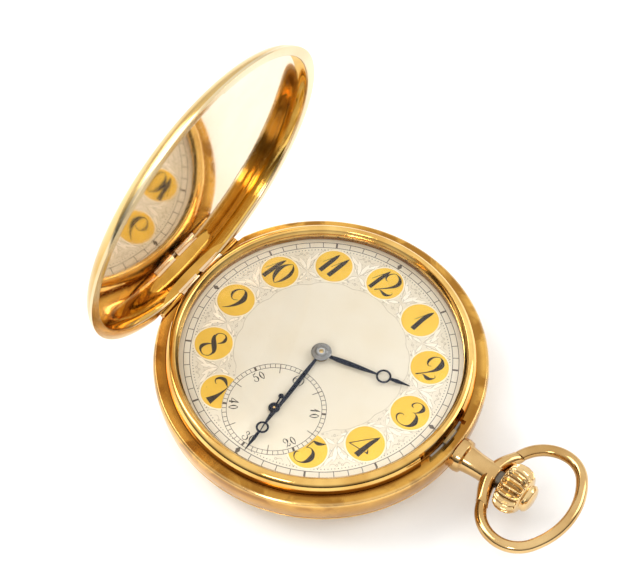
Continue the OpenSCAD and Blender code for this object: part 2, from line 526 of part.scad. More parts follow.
module regulator() color("lightgray") translate([W[0],W[1],3.3]) linear_extrude(0.2) difference() {
  union() { circle(1.45); rotate(-75) polygon([[0.8,-0.5],[6.2,-0.12],[6.4,0],[6.2,0.12],[0.8,0.5]]); rotate(40) translate([0.9,-0.3]) square([2.2,0.6]); }
  circle(0.95);
}
module jewels() color("crimson") {
  for (c=[T,F,E]) translate([c[0],c[1],4.0]) difference() { cylinder(r=0.7, h=0.45); translate([0,0,-1]) cylinder(r=0.2, h=3); }
  translate([W[0],W[1],3.5]) difference() { cylinder(r=0.7, h=0.6); translate([0,0,0.2]) cylinder(r=0.16, h=3); }
}
module bridge_screws() color("steelblue") for (i=[0:6]) translate([feet[i][0],feet[i][1], i<6 ? 3.75 : 3.4]) screw(1.0, 0.58, 0.36, i<6 ? 3.4 : 3.7);

module cannon_pinion() color("lightgray") difference() {
  union() {
    translate([0,0,7.68]) linear_extrude(0.3) gear2d(12, 0.15, ang([0,0],M), true);
    translate([0,0,7.95]) cylinder(r=0.6, h=2.35);
  }
  translate([0,0,7]) cylinder(r=0.37, h=5);
}
module minute_wheel() color("goldenrod") translate([M[0],M[1],0]) difference() {
  union() {
    translate([0,0,7.68]) linear_extrude(0.25) gear2d(36, 0.15, 180+180/36);
    translate([0,0,7.9]) linear_extrude(0.5) gear2d(10, 0.144, 180, true);
  }
  translate([0,0,7]) cylinder(r=0.27, h=3);
}
module hour_wheel() color("goldenrod") difference() {
  union() {
    translate([0,0,8.1]) linear_extrude(0.22) gear2d(40, 0.144, 180/40);
    translate([0,0,8.1]) cylinder(r=0.95, h=1.55);
  }
  translate([0,0,7]) cylinder(r=0.66, h=5);
}
module setting_wheel() color("lightgray") translate([G[0],G[1],0]) difference() {
  translate([0,0,7.68]) linear_extrude(0.25) gear2d(28, 0.15, 180+(28 % 2)*180/28);
  translate([0,0,7]) cylinder(r=0.27, h=3);
}
module winding_pinion() color("lightgray") difference() {
  translate([13.65,0,pz]) rotate([0,90,0]) linear_extrude(1.0) gear2d(16, 0.2222, 0, true);
  along_x(10, 20, pz, 0.58);
}
module sliding_pinion() color("lightgray") difference() {
  union() { along_x(11.4, 12.05, pz, 1.25); along_x(12.0, 12.5, pz, 0.9); along_x(12.45, 13.1, pz, 1.25); }
  along_x(10, 20, pz, 0.58);
}
module setting_lever() color("lightgray") difference() {
  union() {
    translate([0,0,7.85]) linear_extrude(0.35) hull() { translate(SL) circle(0.9); translate([20.1,-2.2]) circle(0.5); }
    translate([0,0,7.85]) linear_extrude(0.35) hull() { translate([20.1,-2.2]) circle(0.5); translate([20.1,-0.78]) circle(0.3); }
    translate([20.1,-0.78,6.4]) cylinder(r=0.2, h=1.6);
  }
  translate([SL[0],SL[1],7]) cylinder(r=0.28, h=3);
}
module yoke() color("lightgray") difference() {
  union() {
    translate([0,0,7.85]) linear_extrude(0.35) hull() { translate(YK) circle(0.9); translate([12.25,-2.7]) circle(0.35); }
    translate([12.25,-2.7,6.6]) cylinder(r=0.15, h=1.5);
    translate([12.17,-2.75,6.45]) cube([0.16,1.75,0.45]);
  }
  translate([YK[0],YK[1],7]) cylinder(r=0.28, h=3);
}

case_band_full();  // case_band
pendant();
bow();
bow_pivots();
front_cover();
front_hinge_pin();
rear_cover();
rear_hinge_pin();
cuvette();
cuvette_hinge_pin();
bezel();
crystal();
lock_spring();
fly_spring();
case_screws();
crown();
winding_stem();
push_sleeve();
dial();
numeral_discs();
hour_hand();
minute_hand();
minute_collet();
seconds_hand();
dial_screws();
mainplate();
barrel_bridge();
train_bridge();
balance_cock();
pallet_cock();
barrel_drum();
barrel_lid();
mainspring();
barrel_arbor();
ratchet_wheel();
crown_wheel();
click();
click_spring();
center_wheel();
third_wheel();
fourth_wheel();
escape_wheel();
pallet_fork();
pallet_stones();
balance_wheel();
balance_staff();
hairspring();
regulator();
jewels();
bridge_screws();
ratchet_screw();
crown_wheel_screw();
cannon_pinion();
minute_wheel();
hour_wheel();
winding_pinion();
sliding_pinion();
setting_lever();
yoke();
setting_wheel();
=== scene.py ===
import bpy, bmesh, math, random
import numpy as np
from mathutils import Vector, Matrix


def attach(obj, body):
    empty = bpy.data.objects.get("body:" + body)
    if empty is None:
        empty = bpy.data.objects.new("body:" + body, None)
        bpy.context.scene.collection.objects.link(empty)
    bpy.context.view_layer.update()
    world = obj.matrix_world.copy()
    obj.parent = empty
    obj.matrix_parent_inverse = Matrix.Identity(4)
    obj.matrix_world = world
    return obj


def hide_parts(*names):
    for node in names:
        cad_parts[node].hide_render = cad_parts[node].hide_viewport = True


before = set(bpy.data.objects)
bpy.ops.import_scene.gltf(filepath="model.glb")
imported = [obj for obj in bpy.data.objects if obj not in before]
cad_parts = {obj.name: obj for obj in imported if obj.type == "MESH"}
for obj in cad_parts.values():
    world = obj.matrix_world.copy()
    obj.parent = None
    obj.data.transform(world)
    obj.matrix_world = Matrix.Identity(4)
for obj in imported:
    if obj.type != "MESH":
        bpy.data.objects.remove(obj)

bpy.context.view_layer.update()
S = bpy.context.scene
MM = 0.001
rng = random.Random(7)

# ---------------------------------------------------------------- camera
cam_data = bpy.data.cameras.new("camera")
cam_data.sensor_width = 36.0
cam_data.lens = 104.885
cam_data.clip_start, cam_data.clip_end = 0.01, 20.0
cam = bpy.data.objects.new("camera", cam_data)
S.collection.objects.link(cam)
right = Vector((0.79917075, 0.60096622, 0.01287322))
up = Vector((-0.50667868, 0.66195439, 0.55235233))
back = Vector((0.32342361, -0.44794642, 0.83351136))
cam.matrix_world = Matrix((
    (right.x, up.x, back.x, 0.08813),
    (right.y, up.y, back.y, -0.12280),
    (right.z, up.z, back.z, 0.25458),
    (0, 0, 0, 1)))
S.camera = cam

# ---------------------------------------------------------------- node helpers
class N:
    """Small helper for building one material's node tree."""
    def __init__(self, name):
        self.m = bpy.data.materials.new(name)
        self.m.use_nodes = True
        self.t = self.m.node_tree
        self.t.nodes.clear()
        self.out = self.t.nodes.new("ShaderNodeOutputMaterial")
        self.b = self.t.nodes.new("ShaderNodeBsdfPrincipled")
        self.t.links.new(self.b.outputs[0], self.out.inputs["Surface"])
    def new(self, kind, **k):
        n = self.t.nodes.new(kind)
        for a, v in k.items():
            setattr(n, a, v)
        return n
    def link(self, a, b):
        self.t.links.new(a, b)
    def coord(self):
        return self.new("ShaderNodeTexCoord").outputs["Object"]
    def scaled(self, src, s):
        n = self.new("ShaderNodeVectorMath", operation="MULTIPLY")
        self.link(src, n.inputs[0]); n.inputs[1].default_value = s
        return n.outputs[0]
    def shifted(self, src, o):
        n = self.new("ShaderNodeVectorMath", operation="SUBTRACT")
        self.link(src, n.inputs[0]); n.inputs[1].default_value = o
        return n.outputs[0]
    def noise(self, src, scale, detail=3.0, rough=0.5, dist=0.0):
        n = self.new("ShaderNodeTexNoise")
        self.link(src, n.inputs["Vector"])
        n.inputs["Scale"].default_value = scale
        n.inputs["Detail"].default_value = detail
        n.inputs["Roughness"].default_value = rough
        n.inputs["Distortion"].default_value = dist
        return n.outputs["Fac"]
    def ramp(self, src, stops):
        n = self.new("ShaderNodeValToRGB")
        self.link(src, n.inputs[0])
        el = n.color_ramp.elements
        while len(el) > len(stops): el.remove(el[-1])
        while len(el) < len(stops): el.new(1.0)
        for e_, (p, c) in zip(el, stops):
            e_.position = p
            e_.color = (c, c, c, 1) if isinstance(c, (int, float)) else (*c, 1)
        return n.outputs[0]
    def maprange(self, src, a, b, c, d):
        n = self.new("ShaderNodeMapRange")
        self.link(src, n.inputs["Value"])
        for k, v in zip(("From Min", "From Max", "To Min", "To Max"), (a, b, c, d)):
            n.inputs[k].default_value = v
        return n.outputs[0]
    def math(self, op, a, b=None):
        n = self.new("ShaderNodeMath", operation=op)
        for i, v in enumerate((a, b)):
            if v is None: continue
            if isinstance(v, (int, float)): n.inputs[i].default_value = v
            else: self.link(v, n.inputs[i])
        return n.outputs[0]
    def mix(self, fac, a, b, blend="MIX"):
        n = self.new("ShaderNodeMix", data_type="RGBA", blend_type=blend)
        if isinstance(fac, (int, float)): n.inputs[0].default_value = fac
        else: self.link(fac, n.inputs[0])
        for i, v in ((6, a), (7, b)):
            if isinstance(v, tuple): n.inputs[i].default_value = (*v, 1)
            else: self.link(v, n.inputs[i])
        return n.outputs[2]
    def bump(self, height, strength, distance, normal=None):
        n = self.new("ShaderNodeBump")
        self.link(height, n.inputs["Height"])
        n.inputs["Strength"].default_value = strength
        n.inputs["Distance"].default_value = distance
        if normal is not None: self.link(normal, n.inputs["Normal"])
        return n.outputs[0]
    def radius(self, src, centre=(0, 0, 0)):
        p = self.shifted(src, centre)
        q = self.scaled(p, (1, 1, 0))
        n = self.new("ShaderNodeVectorMath", operation="LENGTH")
        self.link(q, n.inputs[0])
        return n.outputs["Value"]


def metal(name, light, dark, rough=(0.08, 0.2), scratch=0.15, wave=0.35, satin=0.0, rings=None, ring_scale=9000.0, spots=0.0, metallic=1.0):
    """Polished or satin metal: tone clouds, hairline scratches in two directions, faint hand-polish waves, and lathe rings where asked."""
    k = N(name)
    co = k.coord()
    cloud = k.noise(co, 90.0, 4.0, 0.55)
    tone = k.mix(k.ramp(cloud, [(0.35, 0.0), (0.7, 1.0)]), light, dark)
    if spots:
        sp = k.ramp(k.noise(co, 420.0, 5.0, 0.7), [(0.60, 0.0), (0.74, 1.0)])
        tone = k.mix(k.math("MULTIPLY", sp, spots), tone, tuple(c * 0.55 for c in dark))
    k.link(tone, k.b.inputs["Base Color"])
    k.b.inputs["Metallic"].default_value = metallic
    # hairlines: long thin noise in two turned directions
    s1 = k.noise(k.scaled(co, (9000, 260, 3000)), 1.0, 2.0, 0.6, 0.6)
    s2 = k.noise(k.scaled(co, (300, 8000, 2600)), 1.0, 2.0, 0.6, 0.6)
    hair = k.math("ADD", k.ramp(s1, [(0.60, 0.0), (0.68, 1.0)]), k.ramp(s2, [(0.60, 0.0), (0.68, 1.0)]))
    smear = k.noise(co, 240.0, 4.0, 0.6)
    r = k.maprange(smear, 0.3, 0.75, rough[0], rough[1])
    r = k.math("ADD", r, k.math("MULTIPLY", hair, 0.05 + 0.1 * satin))
    if satin:
        grain = k.noise(co, 15000.0, 2.0, 0.6)
        r = k.math("ADD", r, k.maprange(grain, 0.3, 0.7, satin * 0.12, satin * 0.3))
    k.link(r, k.b.inputs["Roughness"])
    height = k.math("MULTIPLY", hair, -scratch)
    nrm = k.bump(height, 0.35, 0.000006)
    soft = k.noise(co, 160.0, 2.0, 0.4)
    nrm = k.bump(soft, wave, 0.00006, nrm)
    if rings is not None:
        rad = k.radius(co, rings)
        n1 = k.new("ShaderNodeTexNoise", noise_dimensions="1D")
        k.link(k.math("MULTIPLY", rad, ring_scale), n1.inputs["W"])
        n1.inputs["Scale"].default_value = 1.0
        n1.inputs["Detail"].default_value = 3.0
        nrm = k.bump(n1.outputs["Fac"], 0.25, 0.00001, nrm)
    k.link(nrm, k.b.inputs["Normal"])
    return k.m

MATS = {}

class Tint:
    """adds painted shade, painted dark reflections and painted highlights to the base colour of a finished material, by
    position on the part
    """
    def __init__(self, m):
        self.m = m; self.t = m.node_tree
        self.b = next(n for n in self.t.nodes if n.type == "BSDF_PRINCIPLED")
        tc = self.t.nodes.new("ShaderNodeTexCoord"); self.co = tc.outputs["Object"]
        sep = self.t.nodes.new("ShaderNodeSeparateXYZ"); self.t.links.new(self.co, sep.inputs[0])
        self.x, self.y, self.z = sep.outputs
        self.r = self.ma("SQRT", self.ma("ADD", self.ma("MULTIPLY", self.x, self.x), self.ma("MULTIPLY", self.y, self.y)))
    def ma(self, op, a, b=None):
        n = self.t.nodes.new("ShaderNodeMath"); n.operation = op
        for i, q in enumerate((a, b)):
            if q is None: continue
            if isinstance(q, (int, float)): n.inputs[i].default_value = q
            else: self.t.links.new(q, n.inputs[i])
        return n.outputs[0]
    def step(self, s_, a, c):
        n = self.t.nodes.new("ShaderNodeMapRange"); n.interpolation_type = "SMOOTHSTEP"
        self.t.links.new(s_, n.inputs["Value"]); n.inputs["From Min"].default_value = a; n.inputs["From Max"].default_value = c
        return n.outputs["Result"]
    def noise(self, scale, detail=4.0, dist=0.0):
        n = self.t.nodes.new("ShaderNodeTexNoise"); n.inputs["Scale"].default_value = scale; n.inputs["Detail"].default_value = detail; n.inputs["Distortion"].default_value = dist
        self.t.links.new(self.co, n.inputs["Vector"]); return n.outputs["Fac"]
    def add(self, mask, col):
        src = self.b.inputs["Base Color"].links[0].from_socket
        mx = self.t.nodes.new("ShaderNodeMix"); mx.data_type = "RGBA"
        self.t.links.new(mask, mx.inputs[0]); self.t.links.new(src, mx.inputs[6]); mx.inputs[7].default_value = (*col, 1)
        self.t.links.new(mx.outputs[2], self.b.inputs["Base Color"])
MATS["gold_bezel"] = metal("gold_bezel_polished", (0.95, 0.63, 0.21), (0.62, 0.33, 0.075), (0.05, 0.12), 0.35, 0.3, rings=(0, 0, 0), ring_scale=7000.0)
MATS["gold_band"] = metal("gold_band_satin", (0.80, 0.445, 0.095), (0.44, 0.205, 0.033), (0.09, 0.22), 0.5, 0.6, satin=0.08, rings=(0, 0, 0), ring_scale=11000.0, spots=0.45)
def cover_plate():
    """mirror gold inside the front cover, paler and creamier than the wall gold as a painted washed-out highlight, with
    amber swirls low on the plate toward the hinge end
    """
    m = metal("gold_cover_mirror", (0.88, 0.735, 0.58), (0.85, 0.69, 0.49), (0.03, 0.06), 0.2, 0.12)
    t = m.node_tree
    b = next(n for n in t.nodes if n.type == "BSDF_PRINCIPLED")
    src = b.inputs["Base Color"].links[0].from_socket
    tc = t.nodes.new("ShaderNodeTexCoord")
    sep = t.nodes.new("ShaderNodeSeparateXYZ"); t.links.new(tc.outputs["Object"], sep.inputs[0])
    nz = t.nodes.new("ShaderNodeTexNoise"); nz.inputs["Scale"].default_value = 230.0; nz.inputs["Detail"].default_value = 5.0; nz.inputs["Distortion"].default_value = 1.6
    t.links.new(tc.outputs["Object"], nz.inputs["Vector"])
    def sm(sock, a, c):
        n = t.nodes.new("ShaderNodeMapRange"); n.interpolation_type = "SMOOTHSTEP"
        t.links.new(sock, n.inputs["Value"]); n.inputs["From Min"].default_value = a; n.inputs["From Max"].default_value = c
        return n.outputs["Result"]
    def mul(p, q):
        n = t.nodes.new("ShaderNodeMath"); n.operation = "MULTIPLY"; t.links.new(p, n.inputs[0]); t.links.new(q, n.inputs[1]); return n.outputs[0]
    low = sm(sep.outputs["Z"], 0.026, 0.017)
    side = sm(sep.outputs["Y"], -0.004, -0.012)
    mask = mul(low, side)
    swirl = sm(nz.outputs["Fac"], 0.42, 0.56)
    amber = t.nodes.new("ShaderNodeMix"); amber.data_type = "RGBA"
    t.links.new(swirl, amber.inputs[0]); amber.inputs[6].default_value = (0.50, 0.20, 0.03, 1); amber.inputs[7].default_value = (1.0, 0.60, 0.10, 1)
    mx = t.nodes.new("ShaderNodeMix"); mx.data_type = "RGBA"
    t.links.new(mask, mx.inputs[0]); t.links.new(src, mx.inputs[6]); t.links.new(amber.outputs[2], mx.inputs[7])
    t.links.new(mx.outputs[2], b.inputs["Base Color"])
    return m
MATS["gold_cover"] = cover_plate()
# inner wall and hinge-chord wall of the front cover: a darker, more saturated copy of the cover gold, painted shade
MATS["gold_wall"] = metal("gold_cover_inner_wall", (0.84, 0.54, 0.14), (0.50, 0.28, 0.05), (0.05, 0.12), 0.3, 0.5)
MATS["gold_lip"] = metal("gold_cover_lip", (0.76, 0.62, 0.39), (0.66, 0.49, 0.26), (0.14, 0.24), 0.3, 0.15)
MATS["gold_rim"] = metal("gold_cover_outside", (0.68, 0.47, 0.19), (0.54, 0.34, 0.10), (0.12, 0.24), 0.35, 0.15, satin=0.1)
MATS["gold_back"] = metal("gold_back_polished", (0.86, 0.60, 0.25), (0.74, 0.46, 0.15), (0.07, 0.16), 0.4, 0.3)
MATS["rose"] = metal("gold_rose_polished", (0.74, 0.50, 0.225), (0.46, 0.26, 0.085), (0.07, 0.15), 0.35, 0.25)
MATS["crown"] = metal("gold_rose_crown", (0.86, 0.64, 0.33), (0.68, 0.45, 0.20), (0.09, 0.20), 0.35, 0.35, spots=0.35)
MATS["steel"] = metal("steel_polished", (0.62, 0.62, 0.61), (0.45, 0.45, 0.45), (0.14, 0.3), 0.6, 0.2, rings=None)
MATS["steel_fine"] = metal("steel_grey_fine", (0.32, 0.32, 0.31), (0.19, 0.19, 0.19), (0.18, 0.32), 0.6, 0.2, satin=0.15)
MATS["latch_steel"] = metal("steel_latch_grey", (0.36, 0.35, 0.34), (0.16, 0.155, 0.15), (0.28, 0.42), 0.5, 0.3)
# winding stem and push sleeve, in the gap under the crown: steel darkened to brown-black, painted shade of that gap;
# the darker spots are dirt
MATS["stem_steel"] = metal("steel_stem_painted_shade", (0.22, 0.19, 0.15), (0.10, 0.08, 0.06), (0.2, 0.35), 0.6, 0.3, spots=0.3)
MATS["spring_steel"] = metal("steel_spring_dark", (0.52, 0.52, 0.51), (0.22, 0.22, 0.22), (0.12, 0.26), 0.6, 0.3, spots=0.3)
MATS["brass"] = metal("brass_gilt_wheels", (0.92, 0.70, 0.34), (0.80, 0.54, 0.20), (0.16, 0.30), 0.4, 0.2, satin=0.15, rings=(0, 0, 0), ring_scale=15000.0)

# bezel: dark brown over the lower part of the ring, under about 10.3 mm and broken by noise: painted dark reflection
# and painted shade at the joint with the band
k = Tint(MATS["gold_bezel"])
k.add(k.ma("MULTIPLY", k.step(k.z, 0.01030, 0.00955), k.ma("ADD", 0.55, k.ma("MULTIPLY", k.noise(140.0), 0.7))), (0.25, 0.11, 0.02))
k = Tint(MATS["gold_band"])
# band: dark brown patches over its upper part, above about 7 mm: painted dark reflections
painted_reflection_patch = k.step(k.noise(150.0, 6.0, 0.8), 0.47, 0.58)
top = k.step(k.z, 0.0087, 0.0089)
k.add(k.ma("MULTIPLY", k.ma("MULTIPLY", painted_reflection_patch, 0.85), k.step(k.z, 0.0068, 0.0080)), (0.32, 0.135, 0.02))
# band: dark brown on the inner part of the flange top, next to the bezel: painted shade between the parts
k.add(k.ma("MULTIPLY", k.ma("MULTIPLY", top, k.step(k.r, 0.02515, 0.0243)), 0.8), (0.36, 0.17, 0.03))
# band: pale cream on the outer top edge of the flange: painted highlight
k.add(k.ma("MULTIPLY", k.ma("MULTIPLY", k.step(k.z, 0.0083, 0.0086), k.step(k.r, 0.0254, 0.0257)), 0.25), (1.0, 0.78, 0.42))
# crown: dark brown along the middle of each flute groove, over the fluted part: painted shade in the grooves
k = Tint(MATS["crown"])
ang = k.ma("ARCTAN2", k.y, k.ma("SUBTRACT", k.z, 0.0066))
gro = k.step(k.ma("COSINE", k.ma("MULTIPLY", ang, 18.0)), -0.25, 0.85)
mid = k.ma("MULTIPLY", k.step(k.x, 0.0343, 0.0348), k.step(k.x, 0.0380, 0.0374))
k.add(k.ma("MULTIPLY", k.ma("MULTIPLY", gro, mid), 0.80), (0.20, 0.09, 0.017))

def nickel():
    """nickel plate with broad polished stripes and a fine grain"""
    k = N("nickel_striped")
    co = k.coord()
    rot = k.new("ShaderNodeMapping"); k.link(co, rot.inputs[0]); rot.inputs["Rotation"].default_value = (0, 0, math.radians(35))
    sep = k.new("ShaderNodeSeparateXYZ"); k.link(rot.outputs[0], sep.inputs[0])
    saw = k.math("FRACT", k.math("MULTIPLY", sep.outputs["X"], 1 / 0.0021))
    arcs = k.noise(k.scaled(co, (7000, 7000, 200)), 1.0, 2.0, 0.6)
    tone = k.mix(k.noise(co, 150.0, 4.0), (0.66, 0.64, 0.58), (0.52, 0.50, 0.44))
    k.link(k.mix(k.ramp(saw, [(0.0, 0.0), (0.5, 0.5), (1.0, 0.0)]), tone, (0.80, 0.78, 0.71)), k.b.inputs["Base Color"])
    k.b.inputs["Metallic"].default_value = 1.0
    k.link(k.maprange(arcs, 0.3, 0.7, 0.18, 0.34), k.b.inputs["Roughness"])
    k.link(k.bump(saw, 0.4, 0.00003, k.bump(arcs, 0.15, 0.000006)), k.b.inputs["Normal"])
    return k.m
MATS["nickel"] = nickel()

def blued():
    """blued steel: deep blue-black with faint temper clouds"""
    k = N("steel_blued")
    co = k.coord()
    n1 = k.noise(co, 350.0, 4.0, 0.6)
    c = k.mix(k.ramp(n1, [(0.35, 0.0), (0.65, 1.0)]), (0.010, 0.013, 0.024), (0.024, 0.029, 0.046))
    k.link(c, k.b.inputs["Base Color"])
    k.b.inputs["Metallic"].default_value = 0.9
    k.link(k.maprange(k.noise(co, 900.0, 4.0), 0.3, 0.7, 0.2, 0.36), k.b.inputs["Roughness"])
    k.link(k.bump(k.noise(k.scaled(co, (6000, 6000, 500)), 1.0, 2.0), 0.12, 0.000008), k.b.inputs["Normal"])
    return k.m
MATS["blued"] = blued()

def glass():
    k = N("crystal_glass")
    co = k.coord()
    k.b.inputs["Base Color"].default_value = (1, 1, 1, 1)
    k.b.inputs["Transmission Weight"].default_value = 1.0
    k.b.inputs["IOR"].default_value = 1.22
    s = k.ramp(k.noise(k.scaled(co, (12000, 300, 500)), 1.0, 2.0, 0.6, 0.5), [(0.66, 0.0), (0.74, 1.0)])
    k.link(k.math("MULTIPLY", s, 0.035), k.b.inputs["Roughness"])
    k.link(k.bump(k.noise(co, 60.0, 2.0), 0.03, 0.00002), k.b.inputs["Normal"])
    return k.m
MATS["glass"] = glass()

def dial_mat():
    """matt silvered dial gone cream: fine grain, faint stains, frosted ground in the engraved ring"""
    k = N("dial_silvered_cream")
    co = k.coord()
    rad = k.radius(co)
    stain = k.noise(co, 75.0, 5.0, 0.6)
    base = k.mix(k.ramp(stain, [(0.35, 0.0), (0.68, 1.0)]), (0.80, 0.735, 0.605), (0.755, 0.67, 0.515))
    fleck = k.ramp(k.noise(co, 2600.0, 2.0, 0.5), [(0.70, 0.0), (0.78, 1.0)])
    base = k.mix(k.math("MULTIPLY", fleck, 0.25), base, (0.45, 0.36, 0.24))
    ring = k.math("MULTIPLY", k.ramp(k.math("MULTIPLY", rad, 40.0), [(0.535, 0.0), (0.55, 1.0)]), k.ramp(k.math("MULTIPLY", rad, 40.0), [(0.785, 1.0), (0.80, 0.0)]))
    grain = k.noise(co, 9000.0, 2.0, 0.7)
    frost = k.math("MULTIPLY", ring, k.ramp(grain, [(0.4, 0.0), (0.62, 1.0)]))
    base = k.mix(k.math("MULTIPLY", frost, 0.20), base, (0.60, 0.52, 0.40))
    # a warm, darker ring at the dial's rim, under the bezel: painted shade
    edge = k.ramp(k.math("MULTIPLY", rad, 40.0), [(0.83, 0.0), (0.885, 1.0)])
    base = k.mix(k.math("MULTIPLY", edge, 0.35), base, (0.72, 0.55, 0.30))
    k.link(base, k.b.inputs["Base Color"])
    k.b.inputs["Metallic"].default_value = 0.1
    k.link(k.maprange(grain, 0.3, 0.7, 0.42, 0.6), k.b.inputs["Roughness"])
    h = k.math("ADD", k.math("MULTIPLY", grain, 0.35), k.math("MULTIPLY", frost, 0.8))
    k.link(k.bump(h, 0.25, 0.00001), k.b.inputs["Normal"])
    return k.m
MATS["dial"] = dial_mat()

def disc_mat():
    k = N("disc_gilt_satin")
    co = k.coord()
    n = k.noise(co, 260.0, 4.0, 0.6)
    c = k.mix(k.ramp(n, [(0.35, 0.0), (0.68, 1.0)]), (0.90, 0.575, 0.080), (0.81, 0.50, 0.070))
    fl = k.ramp(k.noise(co, 3000.0, 2.0), [(0.70, 0.0), (0.80, 1.0)])
    c = k.mix(k.math("MULTIPLY", fl, 0.4), c, (0.35, 0.18, 0.04))
    k.link(c, k.b.inputs["Base Color"])
    k.b.inputs["Metallic"].default_value = 0.35
    k.b.inputs["Specular IOR Level"].default_value = 0.2
    g = k.noise(co, 12000.0, 2.0, 0.6)
    k.link(k.maprange(g, 0.3, 0.7, 0.34, 0.52), k.b.inputs["Roughness"])
    k.link(k.bump(g, 0.2, 0.00001), k.b.inputs["Normal"])
    return k.m
MATS["disc"] = disc_mat()

def paint(name, a, b, metallic=0.0, rough=(0.35, 0.55), scale=900.0, bump=0.1):
    k = N(name)
    co = k.coord()
    k.link(k.mix(k.noise(co, scale, 4.0, 0.6), a, b), k.b.inputs["Base Color"])
    k.b.inputs["Metallic"].default_value = metallic
    k.link(k.maprange(k.noise(co, scale * 3, 3.0), 0.3, 0.7, *rough), k.b.inputs["Roughness"])
    k.link(k.bump(k.noise(co, scale * 6, 2.0), bump, 0.000008), k.b.inputs["Normal"])
    return k.m
MATS["ink"] = paint("ink_black", (0.010, 0.006, 0.004), (0.030, 0.018, 0.010))
MATS["ink_grey"] = paint("ink_faded_brown", (0.055, 0.040, 0.028), (0.16, 0.12, 0.085), scale=1400.0)
MATS["engrave"] = paint("engraved_line_shadow", (0.30, 0.235, 0.15), (0.52, 0.43, 0.30), 0.2, scale=700.0)
MATS["leaf"] = paint("engraved_leaf_bright", (0.92, 0.86, 0.74), (0.84, 0.75, 0.60), 0.45, (0.25, 0.4), 600.0)
MATS["halo"] = paint("disc_halo_pale", (0.95, 0.88, 0.72), (0.88, 0.76, 0.52), 0.3, (0.3, 0.45), 500.0)
MATS["ruby"] = None

def ruby():
    k = N("ruby_jewel")
    co = k.coord()
    k.link(k.mix(k.noise(co, 1200.0, 3.0), (0.55, 0.015, 0.07), (0.38, 0.005, 0.04)), k.b.inputs["Base Color"])
    k.b.inputs["Roughness"].default_value = 0.06
    k.b.inputs["IOR"].default_value = 1.76
    k.b.inputs["Coat Weight"].default_value = 0.5
    k.link(k.bump(k.noise(co, 5000.0, 2.0), 0.05, 0.000005), k.b.inputs["Normal"])
    return k.m
MATS["ruby"] = ruby()

# ---------------------------------------------------------------- stage
def area(name, loc, target, size, power, color=(1, 1, 1), size_y=None, spread=math.pi):
    d = bpy.data.lights.new(name, "AREA")
    d.energy = power; d.color = color
    d.shape = "RECTANGLE" if size_y else "SQUARE"
    d.size = size
    if size_y: d.size_y = size_y
    d.spread = spread
    o = bpy.data.objects.new(name, d)
    S.collection.objects.link(o)
    o.location = loc
    o.rotation_mode = "QUATERNION"
    o.rotation_quaternion = (Vector(target) - Vector(loc)).to_track_quat("-Z", "Y")
    return o

def make_floor():
    bm = bmesh.new()
    bmesh.ops.create_grid(bm, x_segments=2, y_segments=2, size=3.0)
    me = bpy.data.meshes.new("floor"); bm.to_mesh(me); bm.free()
    o = bpy.data.objects.new("floor", me)
    S.collection.objects.link(o)
    k = N("floor_paper")
    co = k.coord()
    n = k.noise(co, 900.0, 3.0)
    k.link(k.mix(n, (0.90, 0.90, 0.90), (0.93, 0.93, 0.93)), k.b.inputs["Base Color"])
    k.b.inputs["Roughness"].default_value = 0.8
    k.b.inputs["Emission Color"].default_value = (1, 1, 1, 1)
    k.b.inputs["Emission Strength"].default_value = 0.04
    k.link(k.bump(n, 0.05, 0.00002), k.b.inputs["Normal"])
    me.materials.append(k.m)
    return o
make_floor()

def make_world():
    w = bpy.data.worlds.new("studio")
    S.world = w
    w.use_nodes = True
    t = w.node_tree; t.nodes.clear()
    out = t.nodes.new("ShaderNodeOutputWorld")
    bg = t.nodes.new("ShaderNodeBackground")
    tc = t.nodes.new("ShaderNodeTexCoord")
    sep = t.nodes.new("ShaderNodeSeparateXYZ")
    t.links.new(tc.outputs["Generated"], sep.inputs[0])
    def ramp(stops):
        r = t.nodes.new("ShaderNodeValToRGB")
        el = r.color_ramp.elements
        while len(el) < len(stops): el.new(1.0)
        for e_, (p, c) in zip(el, stops):
            e_.position = p; e_.color = (c, c, c * 0.985, 1)
        t.links.new(sep.outputs["Z"], r.inputs[0])
        return r.outputs[0]
    front = ramp([(0.0, 0.05), (0.16, 0.07), (0.36, 0.42), (0.60, 0.86), (1.0, 0.90)])
    back = ramp([(0.0, 0.72), (0.16, 0.76), (0.36, 0.82), (0.60, 0.88), (1.0, 0.90)])
    # a white sweep behind the watch, a dark room in front of it
    dot = t.nodes.new("ShaderNodeVectorMath"); dot.operation = "DOT_PRODUCT"
    t.links.new(tc.outputs["Generated"], dot.inputs[0]); dot.inputs[1].default_value = (-0.62, 0.78, 0.0)
    mr = t.nodes.new("ShaderNodeMapRange"); mr.interpolation_type = "SMOOTHSTEP"
    t.links.new(dot.outputs["Value"], mr.inputs["Value"])
    mr.inputs["From Min"].default_value = -0.15; mr.inputs["From Max"].default_value = 0.45
    mx = t.nodes.new("ShaderNodeMix"); mx.data_type = "RGBA"
    t.links.new(mr.outputs["Result"], mx.inputs[0]); t.links.new(front, mx.inputs[6]); t.links.new(back, mx.inputs[7])
    t.links.new(mx.outputs[2], bg.inputs["Color"])
    bg.inputs["Strength"].default_value = 1.28
    t.links.new(bg.outputs[0], out.inputs["Surface"])
make_world()
area("key", (-0.62, -0.10, 0.55), (0, 0, 0), 0.5, 4.6, (1.0, 0.985, 0.96))
area("front", (0.10, -0.52, 0.40), (0, 0, 0), 0.14, 0.6, (1.0, 0.99, 0.97), size_y=0.09)
area("fill", (0.45, 0.55, 0.42), (0, 0, 0), 0.40, 1.6)
S.view_settings.view_transform = "Standard"
S.view_settings.look = "None"
S.view_settings.exposure = 0.0


